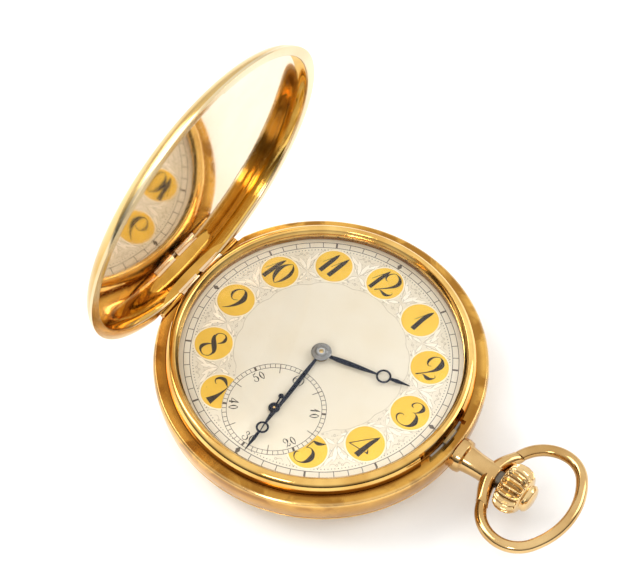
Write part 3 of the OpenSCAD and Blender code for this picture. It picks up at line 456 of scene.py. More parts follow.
# ---------------------------------------------------------------- mesh helpers
def obj_from(name, verts, faces, mat=None, smooth=True, angle=32.0):
    me = bpy.data.meshes.new(name)
    me.from_pydata([tuple(v) for v in verts], [], faces)
    me.validate(); me.update()
    o = bpy.data.objects.new(name, me)
    S.collection.objects.link(o)
    if mat: me.materials.append(mat)
    finish_mesh(o, smooth, angle)
    return o

def finish_mesh(o, smooth=True, angle=32.0):
    me = o.data
    bm = bmesh.new(); bm.from_mesh(me)
    bmesh.ops.remove_doubles(bm, verts=bm.verts, dist=1e-8)
    bmesh.ops.recalc_face_normals(bm, faces=bm.faces)
    bm.to_mesh(me); bm.free()
    me.polygons.foreach_set("use_smooth", [smooth] * len(me.polygons))
    if smooth: me.set_sharp_from_angle(angle=math.radians(angle))
    me.update()

def fillet(pts, rad=0.1, seg=5, skip=12.0, closed=True):
    """Rounds the corners of an outline in mm; corners that turn less than skip degrees stay."""
    out = []
    n = len(pts)
    for i, p in enumerate(pts):
        r = rad[i] if isinstance(rad, (list, tuple)) else rad
        if not closed and i in (0, n - 1):
            out.append(tuple(p[:2])); continue
        a, b, c = Vector(pts[i - 1][:2]), Vector(p[:2]), Vector(pts[(i + 1) % n][:2])
        u, v = (a - b), (c - b)
        if u.length < 1e-6 or v.length < 1e-6: continue
        turn = math.pi - u.angle(v)
        if math.degrees(turn) < skip or r <= 0 or abs(p[0]) < 1e-6:
            out.append(tuple(b)); continue
        t = min(r * math.tan(turn / 2), 0.45 * u.length, 0.45 * v.length)
        rr = t / math.tan(turn / 2)
        u.normalize(); v.normalize()
        mid = (u + v).normalized()
        cen = b + mid * (rr / math.cos(turn / 2))
        s, e_ = b + u * t - cen, b + v * t - cen
        a0 = math.atan2(s.y, s.x); da = math.atan2(s.x * e_.y - s.y * e_.x, s.dot(e_))
        for k in range(seg + 1):
            q = a0 + da * k / seg
            out.append((cen.x + rr * math.cos(q), cen.y + rr * math.sin(q)))
    return out

def ring_mesh(pts, n=360, a0=0.0, a1=360.0):
    """Verts and faces of an outline (r, z) in mm turned about Z."""
    full = abs(a1 - a0 - 360) < 1e-6
    m = len(pts)
    cols = n if full else n + 1
    verts, idx = [], []
    for i, (r, z) in enumerate(pts):
        row = []
        if r < 1e-6:
            verts.append((0, 0, z * MM)); row = [len(verts) - 1] * cols
        else:
            for k in range(cols):
                a = math.radians(a0 + (a1 - a0) * k / n)
                verts.append((r * MM * math.cos(a), r * MM * math.sin(a), z * MM)); row.append(len(verts) - 1)
        idx.append(row)
    faces = []
    for i in range(m):
        A, B = idx[i], idx[(i + 1) % m]
        for k in range(n):
            l = (k + 1) % cols
            f = [A[k], A[l], B[l], B[k]]
            g = [v for j, v in enumerate(f) if v not in f[:j]]
            if len(g) > 2: faces.append(g)
    if not full:
        faces.append([r[0] for r in idx]); faces.append([r[-1] for r in idx][::-1])
    return verts, faces

def revolve(name, pts, mat=None, n=360, a0=0.0, a1=360.0, matrix=None, angle=32.0):
    v, f = ring_mesh(pts, n, a0, a1)
    if matrix is not None: v = [matrix @ Vector(p) for p in v]
    return obj_from(name, v, f, mat, angle=angle)

def to_x(x=0, y=0, z=0):
    """turns the +Z axis of a turned piece onto +X"""
    return Matrix.Translation(Vector((x, y, z)) * MM) @ Matrix.Rotation(math.radians(90), 4, "Y")
def to_y(x=0, y=0, z=0):
    return Matrix.Translation(Vector((x, y, z)) * MM) @ Matrix.Rotation(math.radians(-90), 4, "X")

def boxo(name, lo, hi, mat=None):
    v = [(x * MM, y * MM, z * MM) for x in (lo[0], hi[0]) for y in (lo[1], hi[1]) for z in (lo[2], hi[2])]
    f = [(0, 1, 3, 2), (4, 6, 7, 5), (0, 4, 5, 1), (2, 3, 7, 6), (0, 2, 6, 4), (1, 5, 7, 3)]
    return obj_from(name, v, f, mat, smooth=False)

def rod(name, p0, r, length, matrix_of, ri=0.0, mat=None, n=48, edge=0.05):
    """bevelled rod or tube: matrix_of is to_x or to_y"""
    pts = [(ri, 0), (r, 0), (r, length), (ri, length)]
    return revolve(name, fillet(pts, [0 if ri == 0 else edge * 0.6, edge, edge, 0 if ri == 0 else edge * 0.6]), mat, n, matrix=matrix_of(*p0))

def cut(o, cutters, op="DIFFERENCE"):
    for c in cutters:
        m = o.modifiers.new("b", "BOOLEAN"); m.object = c; m.operation = op; m.solver = "EXACT"
        dg = bpy.context.evaluated_depsgraph_get()
        me = bpy.data.meshes.new_from_object(o.evaluated_get(dg))
        o.modifiers.clear()
        old = o.data; o.data = me; bpy.data.meshes.remove(old)
        bpy.data.objects.remove(c)
    return o

def join(name, parts):
    base = parts[0]
    bm = bmesh.new()
    mats = []
    for p in parts:
        me = p.data
        off = []
        for m in me.materials:
            if m not in mats: mats.append(m)
            off.append(mats.index(m))
        k = len(bm.faces)
        bm.from_mesh(me)
        bm.faces.ensure_lookup_table()
        for f in bm.faces[k:]:
            f.material_index = off[f.material_index] if off else 0
    me = bpy.data.meshes.new(name)
    bm.to_mesh(me); bm.free()
    for m in mats: me.materials.append(m)
    o = bpy.data.objects.new(name, me)
    S.collection.objects.link(o)
    for p in parts: bpy.data.objects.remove(p)
    return o

def weighted(o):
    m = o.modifiers.new("wn", "WEIGHTED_NORMAL"); m.keep_sharp = True; m.weight = 60
    return o

def put(o, body, slot, *nodes):
    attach(o, body)
    if nodes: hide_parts(*nodes)
    return o

def catmull(ctrl, per=8):
    """smooth curve of (x, y, w) through control points"""
    P = [ctrl[0]] + list(ctrl) + [ctrl[-1]]
    out = []
    for i in range(1, len(P) - 2):
        p0, p1, p2, p3 = (np.array(q, float) for q in P[i - 1:i + 3])
        for k in range(per):
            t = k / per
            out.append(0.5 * (2 * p1 + (p2 - p0) * t + (2 * p0 - 5 * p1 + 4 * p2 - p3) * t * t + (3 * p1 - p0 - 3 * p2 + p3) * t ** 3))
    out.append(np.array(P[-2], float))
    return out

class Ink:
    """Collects flat strokes as thin closed ribbons in mm, to be made into one mesh."""
    def __init__(self, z, t=0.012):
        self.v, self.f, self.z, self.t, self.c = [], [], z, t, 0
    def ribbon(self, pts, loop=False):
        n = len(pts)
        L, R = [], []
        for i in range(n):
            a = pts[(i - 1) % n] if (loop or i > 0) else pts[i]
            b = pts[(i + 1) % n] if (loop or i < n - 1) else pts[i]
            d = np.array([b[0] - a[0], b[1] - a[1]]); l = np.hypot(*d)
            d = d / l if l > 1e-9 else np.array([1.0, 0])
            w = max(pts[i][2], 0.01) / 2
            L.append((pts[i][0] - d[1] * w, pts[i][1] + d[0] * w)); R.append((pts[i][0] + d[1] * w, pts[i][1] - d[0] * w))
        self.c += 1
        z0, z1 = self.z, self.z + self.t + (self.c % 9) * 0.0004
        k = len(self.v)
        for (lx, ly), (rx_, ry) in zip(L, R):
            self.v += [(lx * MM, ly * MM, z0 * MM), (rx_ * MM, ry * MM, z0 * MM), (lx * MM, ly * MM, z1 * MM), (rx_ * MM, ry * MM, z1 * MM)]
        m = n if loop else n - 1
        for i in range(m):
            a, b = k + 4 * i, k + 4 * ((i + 1) % n)
            self.f += [(a + 2, a + 3, b + 3, b + 2), (a, b, b + 1, a + 1), (a, a + 2, b + 2, b), (a + 1, b + 1, b + 3, a + 3)]
        if not loop:
            e_ = k + 4 * (n - 1)
            self.f += [(k, k + 1, k + 3, k + 2), (e_, e_ + 2, e_ + 3, e_ + 1)]
    def stroke(self, ctrl, M=None, per=8):
        pts = catmull(ctrl, per)
        if M is not None:
            ca, sa, s, ox, oy = M
            pts = [(ox + s * (p[0] * ca - p[1] * sa), oy + s * (p[0] * sa + p[1] * ca), s * p[2]) for p in pts]
        self.ribbon(pts)
    def line(self, x0, y0, x1, y1, w):
        self.ribbon([(x0, y0, w), (x1, y1, w)])
    def circle(self, cx_, cy_, r, w, n=200):
        self.ribbon([(cx_ + r * math.cos(2 * math.pi * i / n), cy_ + r * math.sin(2 * math.pi * i / n), w) for i in range(n)], True)
    def dot(self, x, y, r, n=8):
        self.c += 1
        k = len(self.v); z1 = self.z + self.t
        for i in range(n):
            a = 2 * math.pi * i / n
            self.v += [((x + r * math.cos(a)) * MM, (y + r * math.sin(a)) * MM, self.z * MM), ((x + r * math.cos(a)) * MM, (y + r * math.sin(a)) * MM, z1 * MM)]
        self.f.append([k + 2 * i + 1 for i in range(n)]); self.f.append([k + 2 * i for i in range(n)][::-1])
        for i in range(n):
            a, b = k + 2 * i, k + 2 * ((i + 1) % n)
            self.f.append((a, b, b + 1, a + 1))
    def shape(self, pts, h=None):
        """closed flat shape with a raised ridge at its middle"""
        k = len(self.v); n = len(pts)
        cx_, cy_ = sum(p[0] for p in pts) / n, sum(p[1] for p in pts) / n
        z1 = self.z + self.t
        for x, y in pts:
            self.v += [(x * MM, y * MM, self.z * MM), (x * MM, y * MM, z1 * MM)]
        self.v.append((cx_ * MM, cy_ * MM, (z1 + (h or 0)) * MM))
        self.f.append([k + 2 * i for i in range(n)][::-1])
        for i in range(n):
            a, b = k + 2 * i, k + 2 * ((i + 1) % n)
            self.f += [(a, b, b + 1, a + 1), (a + 1, b + 1, k + 2 * n)]
    def make(self, name, mat, smooth=False):
        me = bpy.data.meshes.new(name)
        me.from_pydata(self.v, [], self.f); me.update()
        o = bpy.data.objects.new(name, me); S.collection.objects.link(o)
        me.materials.append(mat)
        bm = bmesh.new(); bm.from_mesh(me)
        bmesh.ops.recalc_face_normals(bm, faces=bm.faces)
        bm.to_mesh(me); bm.free()
        return o

# ---------------------------------------------------------------- case
DZ = 9.0
HX, HZ, HR = -24.2, 8.75, 0.55
RX, RZ = -25.2, 4.0
PZ, BZ, BX = 6.6, 6.51, 33.6

def make_bezel():
    pts = [(22.4, 8.32), (23.5, 8.32), (23.5, 9.06), (24.0, 9.06), (24.1, 9.2)]
    pts += [(22.75 + 1.35 * math.cos(math.radians(a)), 9.2 + 2.0 * math.sin(math.radians(a))) for a in range(6, 91, 4)]
    pts += [(22.75 + 0.75 * math.cos(math.radians(a)), 9.45 + 1.75 * math.sin(math.radians(a))) for a in range(96, 130, 6)]
    pts += [(22.05, 10.62), (22.02, 10.5), (22.6, 10.48), (22.6, 10.18), (21.9, 10.1), (21.85, 9.15), (22.4, 9.05)]
    o = revolve("bezel_ring", fillet(pts, 0.05, 3, 14), MATS["gold_bezel"], 480, angle=40)
    flat = boxo("c1", (-30, -15, 8), (-23.45, 15, 14))
    notch = revolve("c2", [(23.4, 8), (25, 8), (25, 13), (23.4, 13)], None, 24, -15, 11.25)
    cut(o, [flat, notch])
    finish_mesh(o, True, 34)
    weighted(o)
    return put(o, "case", "yellow_gold", "bezel")

def make_band():
    pts = [(23.7, 3.2), (24.25, 3.3), (24.25, 4.28), (25.5, 4.28), (25.62, 4.6), (25.8, 5.4), (25.92, 6.3), (26, 7.2), (26, 8.4), (25.85, 8.8), (25.6, 9.0),
           (23.65, 9.0), (23.65, 8.3), (22.25, 8.3), (22.25, 6.9), (21.3, 6.9), (21.3, 5.9), (22.4, 5.7), (22.4, 3.2)]
    o = revolve("case_body", fillet(pts, 0.14, 4, 8), MATS["gold_band"], 480, angle=40)
    slot_ = revolve("c1", [(22.5, 8.35), (24.75, 8.35), (24.75, 10), (22.5, 10)], None, 24, -11.78, 9.35)
    seat = boxo("c2", (-30, -15, 8.15), (-23.6, 15, 10.15))
    bore = revolve("c3", [(0, 21), (1.72, 21), (1.72, 30), (0, 30)], None, 48, matrix=to_x(0, 0, PZ))
    hinge = revolve("c4", [(0, -5), (0.68, -5), (0.68, 5), (0, 5)], None, 40, matrix=to_y(RX, 0, RZ))
    cut(o, [slot_, seat, bore, hinge])
    finish_mesh(o, True, 34)
    parts = [o]
    for a, b in ((-9.2, -4.3), (5.5, 9.2)):
        parts.append(rod("k", (HX, a, HZ), HR, b - a, to_y, 0.28, MATS["gold_band"], 48, 0.08))
        parts.append(boxo("w", (HX - 0.15, a + 0.02, 8.14), (HX + 0.35, b - 0.02, 8.74), MATS["gold_band"]))
    for a, b in ((-4.7, -1.9), (1.9, 4.7)):
        parts.append(rod("k", (RX, a, RZ), 0.5, b - a, to_y, 0.28, MATS["gold_band"], 40, 0.07))
        parts.append(boxo("w", (RX + 0.05, a + 0.02, RZ + 0.26), (RX + 0.8, b - 0.02, RZ + 0.76), MATS["gold_band"]))
    o = join("case_middle_band", parts)
    weighted(o)
    return put(o, "case", "yellow_gold", "case_band")

def dome(r, h, n=56):
    return [(r * u, h * (1 - u ** 13) ** 0.6) for u in (math.sin(math.pi / 2 * i / n) for i in range(n + 1))]

def make_front_cover():
    out = [(p[0], p[1] + 9.02) for p in dome(25.95, 3.1, 90)]
    out[0] = (0.0, out[0][1])
    inn = [(25.5 * u, 9.02 + 2.65 * (1 - u ** 20) ** 0.55) for u in (math.sin(math.pi / 2 * i / 110) for i in range(111))]
    inn = [p for p in inn if p[1] > 9.62 + 0.25][::-1]
    inn[-1] = (0.0, inn[-1][1])
    pts = out[:-1] + [(25.95, 9.02), (24.3, 9.02), (24.3, 9.5), (25.36, 9.6)] + inn
    rad = [0.0] * (len(out) - 1) + [0.16, 0.2, 0.2, 0.05] + [0.0] * len(inn)
    o = revolve("cover_shell", fillet(pts, rad, 5, 12), MATS["gold_cover"], 480, angle=50)
    for m in ("gold_wall", "gold_lip", "gold_rim"): o.data.materials.append(MATS[m])
    # the shell's faces take their gold by place and facing: the inner plate the pale mirror gold (painted highlight),
    # the inner wall the darker wall gold (painted shade), the lip and the outside their own golds
    for p in o.data.polygons:
        c, nn = p.center * 1000, p.normal
        r = math.hypot(c.x, c.y)
        ra = (nn.x * c.x + nn.y * c.y) / max(r, 1e-6)
        if c.z < 9.56 and r > 24.2: p.material_index = 2
        elif ra > 0.02 or nn.z > 0.5: p.material_index = 3
        elif r > 24.0 and nn.z > -0.93: p.material_index = 1
    keep = boxo("k1", (HX - 0.4, -40, 8), (60, 40, 28))
    cut(o, [keep], "INTERSECT")
    # flat wall along the hinge chord
    ys = [-8.2 + 16.4 * i / 64 for i in range(65)]
    def zd(y):
        u = min(1.0, math.hypot(HX - 0.2, y) / 25.93)
        return 9.02 + 3.08 * (1 - u ** 13) ** 0.6
    v, f = [], []
    for x in (HX - 0.4, HX + 0.05):
        for y in ys:
            v.append((x * MM, y * MM, 9.03 * MM)); v.append((x * MM, y * MM, max(9.05, zd(y) - 0.02) * MM))
    n2 = 2 * len(ys)
    for i in range(len(ys) - 1):
        a = 2 * i
        f += [(a, a + 1, a + 3, a + 2), (n2 + a, n2 + a + 2, n2 + a + 3, n2 + a + 1), (a + 1, n2 + a + 1, n2 + a + 3, a + 3), (a, a + 2, n2 + a + 2, n2 + a)]
    f += [(0, n2, n2 + 1, 1), (n2 - 2, n2 - 1, 2 * n2 - 1, 2 * n2 - 2)]
    wall = obj_from("wall", v, f, MATS["gold_wall"])
    clear1 = revolve("k2", [(0, -15), (HR + 0.1, -15), (HR + 0.1, 15), (0, 15)], None, 48, matrix=to_y(HX, 0, HZ))
    clear2 = revolve("k3", [(0, -15), (HR + 0.1, -15), (HR + 0.1, 15), (0, 15)], None, 48, matrix=to_y(HX, 0, HZ))
    catch = boxo("k4", (23.5, -1.6, 8.9), (24.75, 1.6, 9.72))
    cut(o, [clear1, catch]); cut(wall, [clear2])
    finish_mesh(o, True, 34); finish_mesh(wall, True, 30)
    parts = [o, wall]
    for a, b in ((-4.2, 0.1), (0.9, 5.4)):
        parts.append(rod("k", (HX, a, HZ), HR, b - a, to_y, 0.28, MATS["gold_cover"], 48, 0.08))
        parts.append(boxo("w", (HX - 0.35, a + 0.02, HZ + 0.3), (HX + 0.2, b - 0.02, HZ + 0.9), MATS["gold_cover"]))
    o = join("front_cover_shell", parts)
    h = Vector((HX, 0, HZ)) * MM
    o.data.transform(Matrix.Translation(h) @ Matrix.Rotation(math.radians(-83), 4, "Y") @ Matrix.Translation(-h))
    weighted(o)
    return put(o, "front_cover", "yellow_gold", "front_cover")

def backp(r, h, n=40):
    return [(0.0, 0.0), (12.0, 0.0)] + [(12 + (r - 12) * u, h - h * (1 - u ** 2.2) ** (1 / 1.9)) for u in (math.sin(math.pi / 2 * i / n) for i in range(1, n + 1))]

def make_rear_cover():
    out = backp(25.55, 4.2)
    inn = [(p[0], p[1] + 0.5) for p in backp(25.05, 3.7)][::-1]
    pts = out + inn
    rad = [0.0] * (len(out) - 1) + [0.12, 0.12] + [0.0] * (len(inn) - 1)
    o = revolve("back_shell", fillet(pts, rad, 4, 12), MATS["gold_back"], 480, angle=50)
    keep = boxo("k1", (RX + 0.3, -40, -1), (60, 40, 19))
    cut(o, [keep], "INTERSECT")
    clear = revolve("k2", [(0, -15), (0.6, -15), (0.6, 15), (0, 15)], None, 40, matrix=to_y(RX, 0, RZ))
    cut(o, [clear])
    finish_mesh(o, True, 34)
    lip = boxo("lip", (25.3, -1.6, 3.7), (26.0, 1.6, 4.12), MATS["gold_back"])
    b = lip.modifiers.new("b", "BEVEL"); b.width = 0.00016; b.segments = 3
    dg = bpy.context.evaluated_depsgraph_get()
    me = bpy.data.meshes.new_from_object(lip.evaluated_get(dg)); lip.modifiers.clear(); lip.data = me
    lip.data.transform(Matrix.Rotation(math.radians(62), 4, "Z"))
    parts = [o, lip, rod("k", (RX, -1.8, RZ), 0.5, 3.6, to_y, 0.28, MATS["gold_back"], 40, 0.07),
             boxo("w", (RX, -1.78, RZ - 0.8), (RX + 0.6, 1.78, RZ - 0.02), MATS["gold_back"])]
    o = join("rear_cover_shell", parts)
    weighted(o)
    return put(o, "rear_cover", "yellow_gold", "rear_cover")

def make_crystal():
    top = [(22.0 * i / 40, DZ + 2.4 - 0.7 * (i / 40) ** 2.6) for i in range(41)]
    bot = [(22.0 * i / 40, DZ + 1.8 - 0.5 * (i / 40) ** 2.6) for i in range(41)][::-1]
    pts = [(0.0, top[0][1])] + top[1:-1] + [(21.95, 10.62), (21.97, 10.46), (22.5, 10.45), (22.5, 10.22), (21.97, 10.22)] + bot[1:-1] + [(0.0, bot[-1][1])]
    o = revolve("crystal_glass", fillet(pts, 0.02, 2, 25), MATS["glass"], 240, angle=30)
    o.visible_shadow = False
    return put(o, "case", "crystal_glass", "crystal")

def sweep(name, path, frames, section, mat, n=40, cap=0.12):
    """tube along path (mm points) with frames (a, b unit vectors) and section (ra, rb, power) per point"""
    v, f = [], []
    P = [Vector(p) for p in path]
    rows = []
    def ring(c, A, B, ra, rb, k=1.0, pw=2.0):
        row = []
        for i in range(n):
            t = 2 * math.pi * i / n
            ct, st = math.cos(t), math.sin(t)
            x = math.copysign(abs(ct) ** (2 / pw), ct) * ra * k; y = math.copysign(abs(st) ** (2 / pw), st) * rb * k
            v.append((c + A * x + B * y) * MM); row.append(len(v) - 1)
        rows.append(row)
    L = len(P)
    for i in range(L):
        A, B = frames[i]
        ra, rb, pw = section[i]
        if i == 0:
            d = (P[0] - P[1]).normalized()
            for q in (0.0, 0.35, 0.75):
                a = math.pi / 2 * q
                ring(P[0] - d * cap * (1 - math.sin(math.pi / 2 - a)), A, B, ra - cap * (1 - math.sin(a)), rb - cap * (1 - math.sin(a)), 1, pw)
            continue
        if i == L - 1:
            d = (P[-1] - P[-2]).normalized()
            for q in (0.75, 0.35, 0.0):
                a = math.pi / 2 * q
                ring(P[-1] - d * cap * (1 - math.sin(math.pi / 2 - a)), A, B, ra - cap * (1 - math.sin(a)), rb - cap * (1 - math.sin(a)), 1, pw)
            continue
        if (P[i] - P[0]).length < cap * 1.2 or (P[i] - P[-1]).length < cap * 1.2: continue
        ring(P[i], A, B, ra, rb, 1, pw)
    for a, b in zip(rows, rows[1:]):
        for i in range(n):
            j = (i + 1) % n
            f.append((a[i], a[j], b[j], b[i]))
    f.append(rows[0][::-1]); f.append(rows[-1])
    return obj_from(name, v, f, mat, angle=38)

def make_pendant():
    pts = [(1.72, 25.4), (2.6, 25.4), (2.74, 26.6), (2.6, 27.3), (2.15, 27.6), (2.02, 28.5), (1.92, 29.5), (1.88, 30.3), (1.9, 31.0), (1.95, 31.8), (1.95, 32.4), (1.85, 33.1), (1.52, 33.1)]
    o = revolve("neck", fillet(pts, [0, 0.12, 0.25, 0.2, 0.12, 0, 0, 0, 0, 0, 0.15, 0.2, 0], 5, 6), MATS["rose"], 128, matrix=to_x(0, 0, PZ), angle=45)
    # the collar follows the curve of the band
    saddle = revolve("c", [(0, 0), (25.97, 0), (25.97, 20), (0, 20)], None, 360)
    cut(o, [saddle]); finish_mesh(o, True, 40)
    tube = rod("t", (23.6, 0, PZ), 1.7, 3.2, to_x, 1.5, MATS["rose"], 64, 0.04)
    path, fr, sec = [], [], []
    amax = math.degrees(math.asin(5.45 / 11.4))
    for i in range(61):
        a = math.radians(-amax + 2 * amax * i / 60)
        y = 11.4 * math.sin(a)
        g = 0.36 * max(0.0, 1 - (y / 4.3) ** 2) ** 1.3      # the crescent swells towards its middle
        path.append((BX + 10.25 - 11.4 * math.cos(a) - g * math.cos(a), y, BZ))
        rad = Vector((-math.cos(a), math.sin(a), 0))
        fr.append((rad, Vector((0, 0, 1))))
        sec.append((0.98 + g, 1.9 * math.sqrt(1 - (y / 5.62) ** 2) * 0.995, 2.15))
    c = sweep("crescent", path, fr, sec, MATS["rose"], 56, 0.09)
    cut(c, [boxo("k8", (BX - 6, -4.96, BZ - 4), (BX + 6, 4.96, BZ + 4))], "INTERSECT")      # both ends stop on a plane square to the pivots
    finish_mesh(c, True, 40)
    o = join("pendant_neck_and_crescent", [o, tube, c])
    weighted(o)
    return put(o, "case", "rose_gold", "pendant")

def make_bow():
    end_R, end_ang, a_end = 11.822, 35.35, 6.42
    side_R, side_c = 5.2, 3.83
    inner_R, inner_c, inner_end = 6.117, 2.913, 164.5
    half = []
    for i in range(0, 31):
        a = math.radians(end_ang * i / 30); half.append((a_end - end_R + end_R * math.cos(a), end_R * math.sin(a)))
    for i in range(1, 31):
        a = math.radians(end_ang + (90 - end_ang) * i / 30); half.append((side_R * math.cos(a), side_c + side_R * math.sin(a)))
    for i in range(1, 41):
        a = math.radians(90 + (inner_end - 90) * i / 40); half.append((inner_R * math.cos(a), inner_c + inner_R * math.sin(a)))
    loop = [(x, -y) for x, y in half[::-1]] + half[1:]
    T = Matrix.Translation(Vector((BX, 0, BZ))) @ Matrix.Rotation(math.radians(-8.8), 4, "Y") @ Matrix.Translation(Vector((5.75, 0, 0)))
    R3 = T.to_3x3()
    path, fr, sec = [], [], []
    for i, (x, y) in enumerate(loop):
        a = loop[max(i - 1, 0)]; b = loop[min(i + 1, len(loop) - 1)]
        d = Vector((b[0] - a[0], b[1] - a[1], 0)).normalized()
        path.append(T @ Vector((x, y, 0)))
        fr.append((R3 @ Vector((d.y, -d.x, 0)), R3 @ Vector((0, 0, 1))))
        sec.append((0.92, 0.92, 2.0))
    o = sweep("bow_loop", path, fr, sec, MATS["rose"], 48, 0.1)
    cut(o, [boxo("k9", (BX - 3, -5.03, BZ - 3), (BX + 3, 5.03, BZ + 3))])
    finish_mesh(o, True, 40)
    weighted(o)
    return put(o, "bow", "rose_gold", "bow")

def make_crown():
    prof = [(0.0, 34.2), (2.8, 34.15), (3.45, 34.36), (3.85, 35.1), (3.95, 36.1), (3.7, 37.1), (2.9, 38.0), (2.3, 38.25), (2.15, 38.35), (2.2, 38.75), (1.9, 39.2), (1.2, 39.45), (0.0, 39.55)]
    rad = [0, 0.15, 0.5, 0.9, 0.9, 0.9, 0.3, 0.1, 0.08, 0.2, 0.4, 0.5, 0]
    pts = fillet(prof, rad, 6, 3, closed=False)
    # resample long stretches
    fine = [pts[0]]
    for p in pts[1:]:
        q = fine[-1]; l = math.hypot(p[0] - q[0], p[1] - q[1]); m = max(1, int(l / 0.12))
        for i in range(1, m + 1): fine.append((q[0] + (p[0] - q[0]) * i / m, q[1] + (p[1] - q[1]) * i / m))
    n = 18 * 24
    v, rows = [], []
    for r, x in fine:
        t = min(1.0, max(0.0, (x - 34.25) / 0.35)) * min(1.0, max(0.0, (38.0 - x) / 0.5))
        depth = 0.62 * t * t * (3 - 2 * t) if r > 1.5 else 0.0
        row = []
        if r < 1e-6:
            v.append((x * MM, 0, PZ * MM)); row = [len(v) - 1] * n
        else:
            for k in range(n):
                th = 2 * math.pi * k / n
                ph = (k % 24) / 24.0
                ph = min(ph, 1 - ph)            # 0 at groove centre, 0.5 on the ridge
                g = max(0.0, 1 - (ph / 0.42) ** 2) ** 0.8
                rr = r - depth * g
                v.append((x * MM, -rr * math.sin(th) * MM, (PZ + rr * math.cos(th)) * MM)); row.append(len(v) - 1)
        rows.append(row)
    f = []
    for a, b in zip(rows, rows[1:]):
        for k in range(n):
            l = (k + 1) % n
            q = [a[k], a[l], b[l], b[k]]
            g = [w for j, w in enumerate(q) if w not in q[:j]]
            if len(g) > 2: f.append(g)
    o = obj_from("crown_fluted", v, f, MATS["crown"], angle=50)
    return put(o, "crown", "rose_gold", "crown")

# ---------------------------------------------------------------- dial
FX, FY = 0.0, -11.92
RING, DISC = 16.8, 2.95

def hole_disc(name, R, z0, z1, holes, mat, edge=0.04):
    pts = fillet([(0.0, z0), (R, z0), (R, z1), (0.0, z1)], [0, edge, edge, 0], 3)
    # the disc is turned about Z from its rounded outline
    o = revolve(name, pts, mat, 360)
    for (x, y, r) in holes:
        c = revolve("h", [(0, z0 - 1), (r, z0 - 1), (r, z1 + 1), (0, z1 + 1)], None, 64)
        c.data.transform(Matrix.Translation(Vector((x, y, 0)) * MM))
        cut(o, [c])
    finish_mesh(o, True, 30)
    return o

def make_dial():
    o = hole_disc("dial_plate", 22.1, 8.6, 9.0, [(0, 0, 1.15), (FX, FY, 0.4)], MATS["dial"])
    weighted(o)
    return put(o, "case", "silvered_dial", "dial")

def clip_seconds(x, y, R):
    d = math.hypot(x - FX, y - FY)
    return (x, y) if d >= R else (FX + (x - FX) * R / d, FY + (y - FY) * R / d)

def make_discs():
    v, f = [], []
    halo = Ink(9.001, 0.012)
    for k in range(1, 13):
        if k == 6: continue
        a = math.radians(90 - 30 * k)
        cx_, cy_ = RING * math.cos(a), RING * math.sin(a)
        n = 128
        base = len(v)
        rings = [(1.0, 9.0), (1.0, 9.04), (0.985, 9.056), (0.96, 9.06), (0.6, 9.06), (0.3, 9.06)]
        for s, z in rings:
            for i in range(n):
                t = 2 * math.pi * i / n
                x, y = cx_ + DISC * s * math.cos(t), cy_ + DISC * s * math.sin(t)
                if k in (5, 7): x, y = clip_seconds(x, y, 7.97 + (1 - s) * 0.6 * (s > 0.9))
                v.append((x * MM, y * MM, z * MM))
        for q in range(len(rings) - 1):
            for i in range(n):
                j = (i + 1) % n
                f.append((base + q * n + i, base + q * n + j, base + (q + 1) * n + j, base + (q + 1) * n + i))
        f.append([base + (len(rings) - 1) * n + i for i in range(n)])
        f.append([base + i for i in range(n)][::-1])
        ring = []
        for i in range(n):
            t = 2 * math.pi * i / n
            x, y = cx_ + 3.07 * math.cos(t), cy_ + 3.07 * math.sin(t)
            if k in (5, 7): x, y = clip_seconds(x, y, 8.02)
            ring.append((x, y, 0.17))
        halo.ribbon(ring, True)
    o = obj_from("numeral_discs_gilt", v, f, MATS["disc"], angle=25)
    put(o, "case", "gilt_disc", "numeral_discs")
    h = halo.make("disc_halo_rings", MATS["halo"])
    put(h, "case", "silvered_dial")

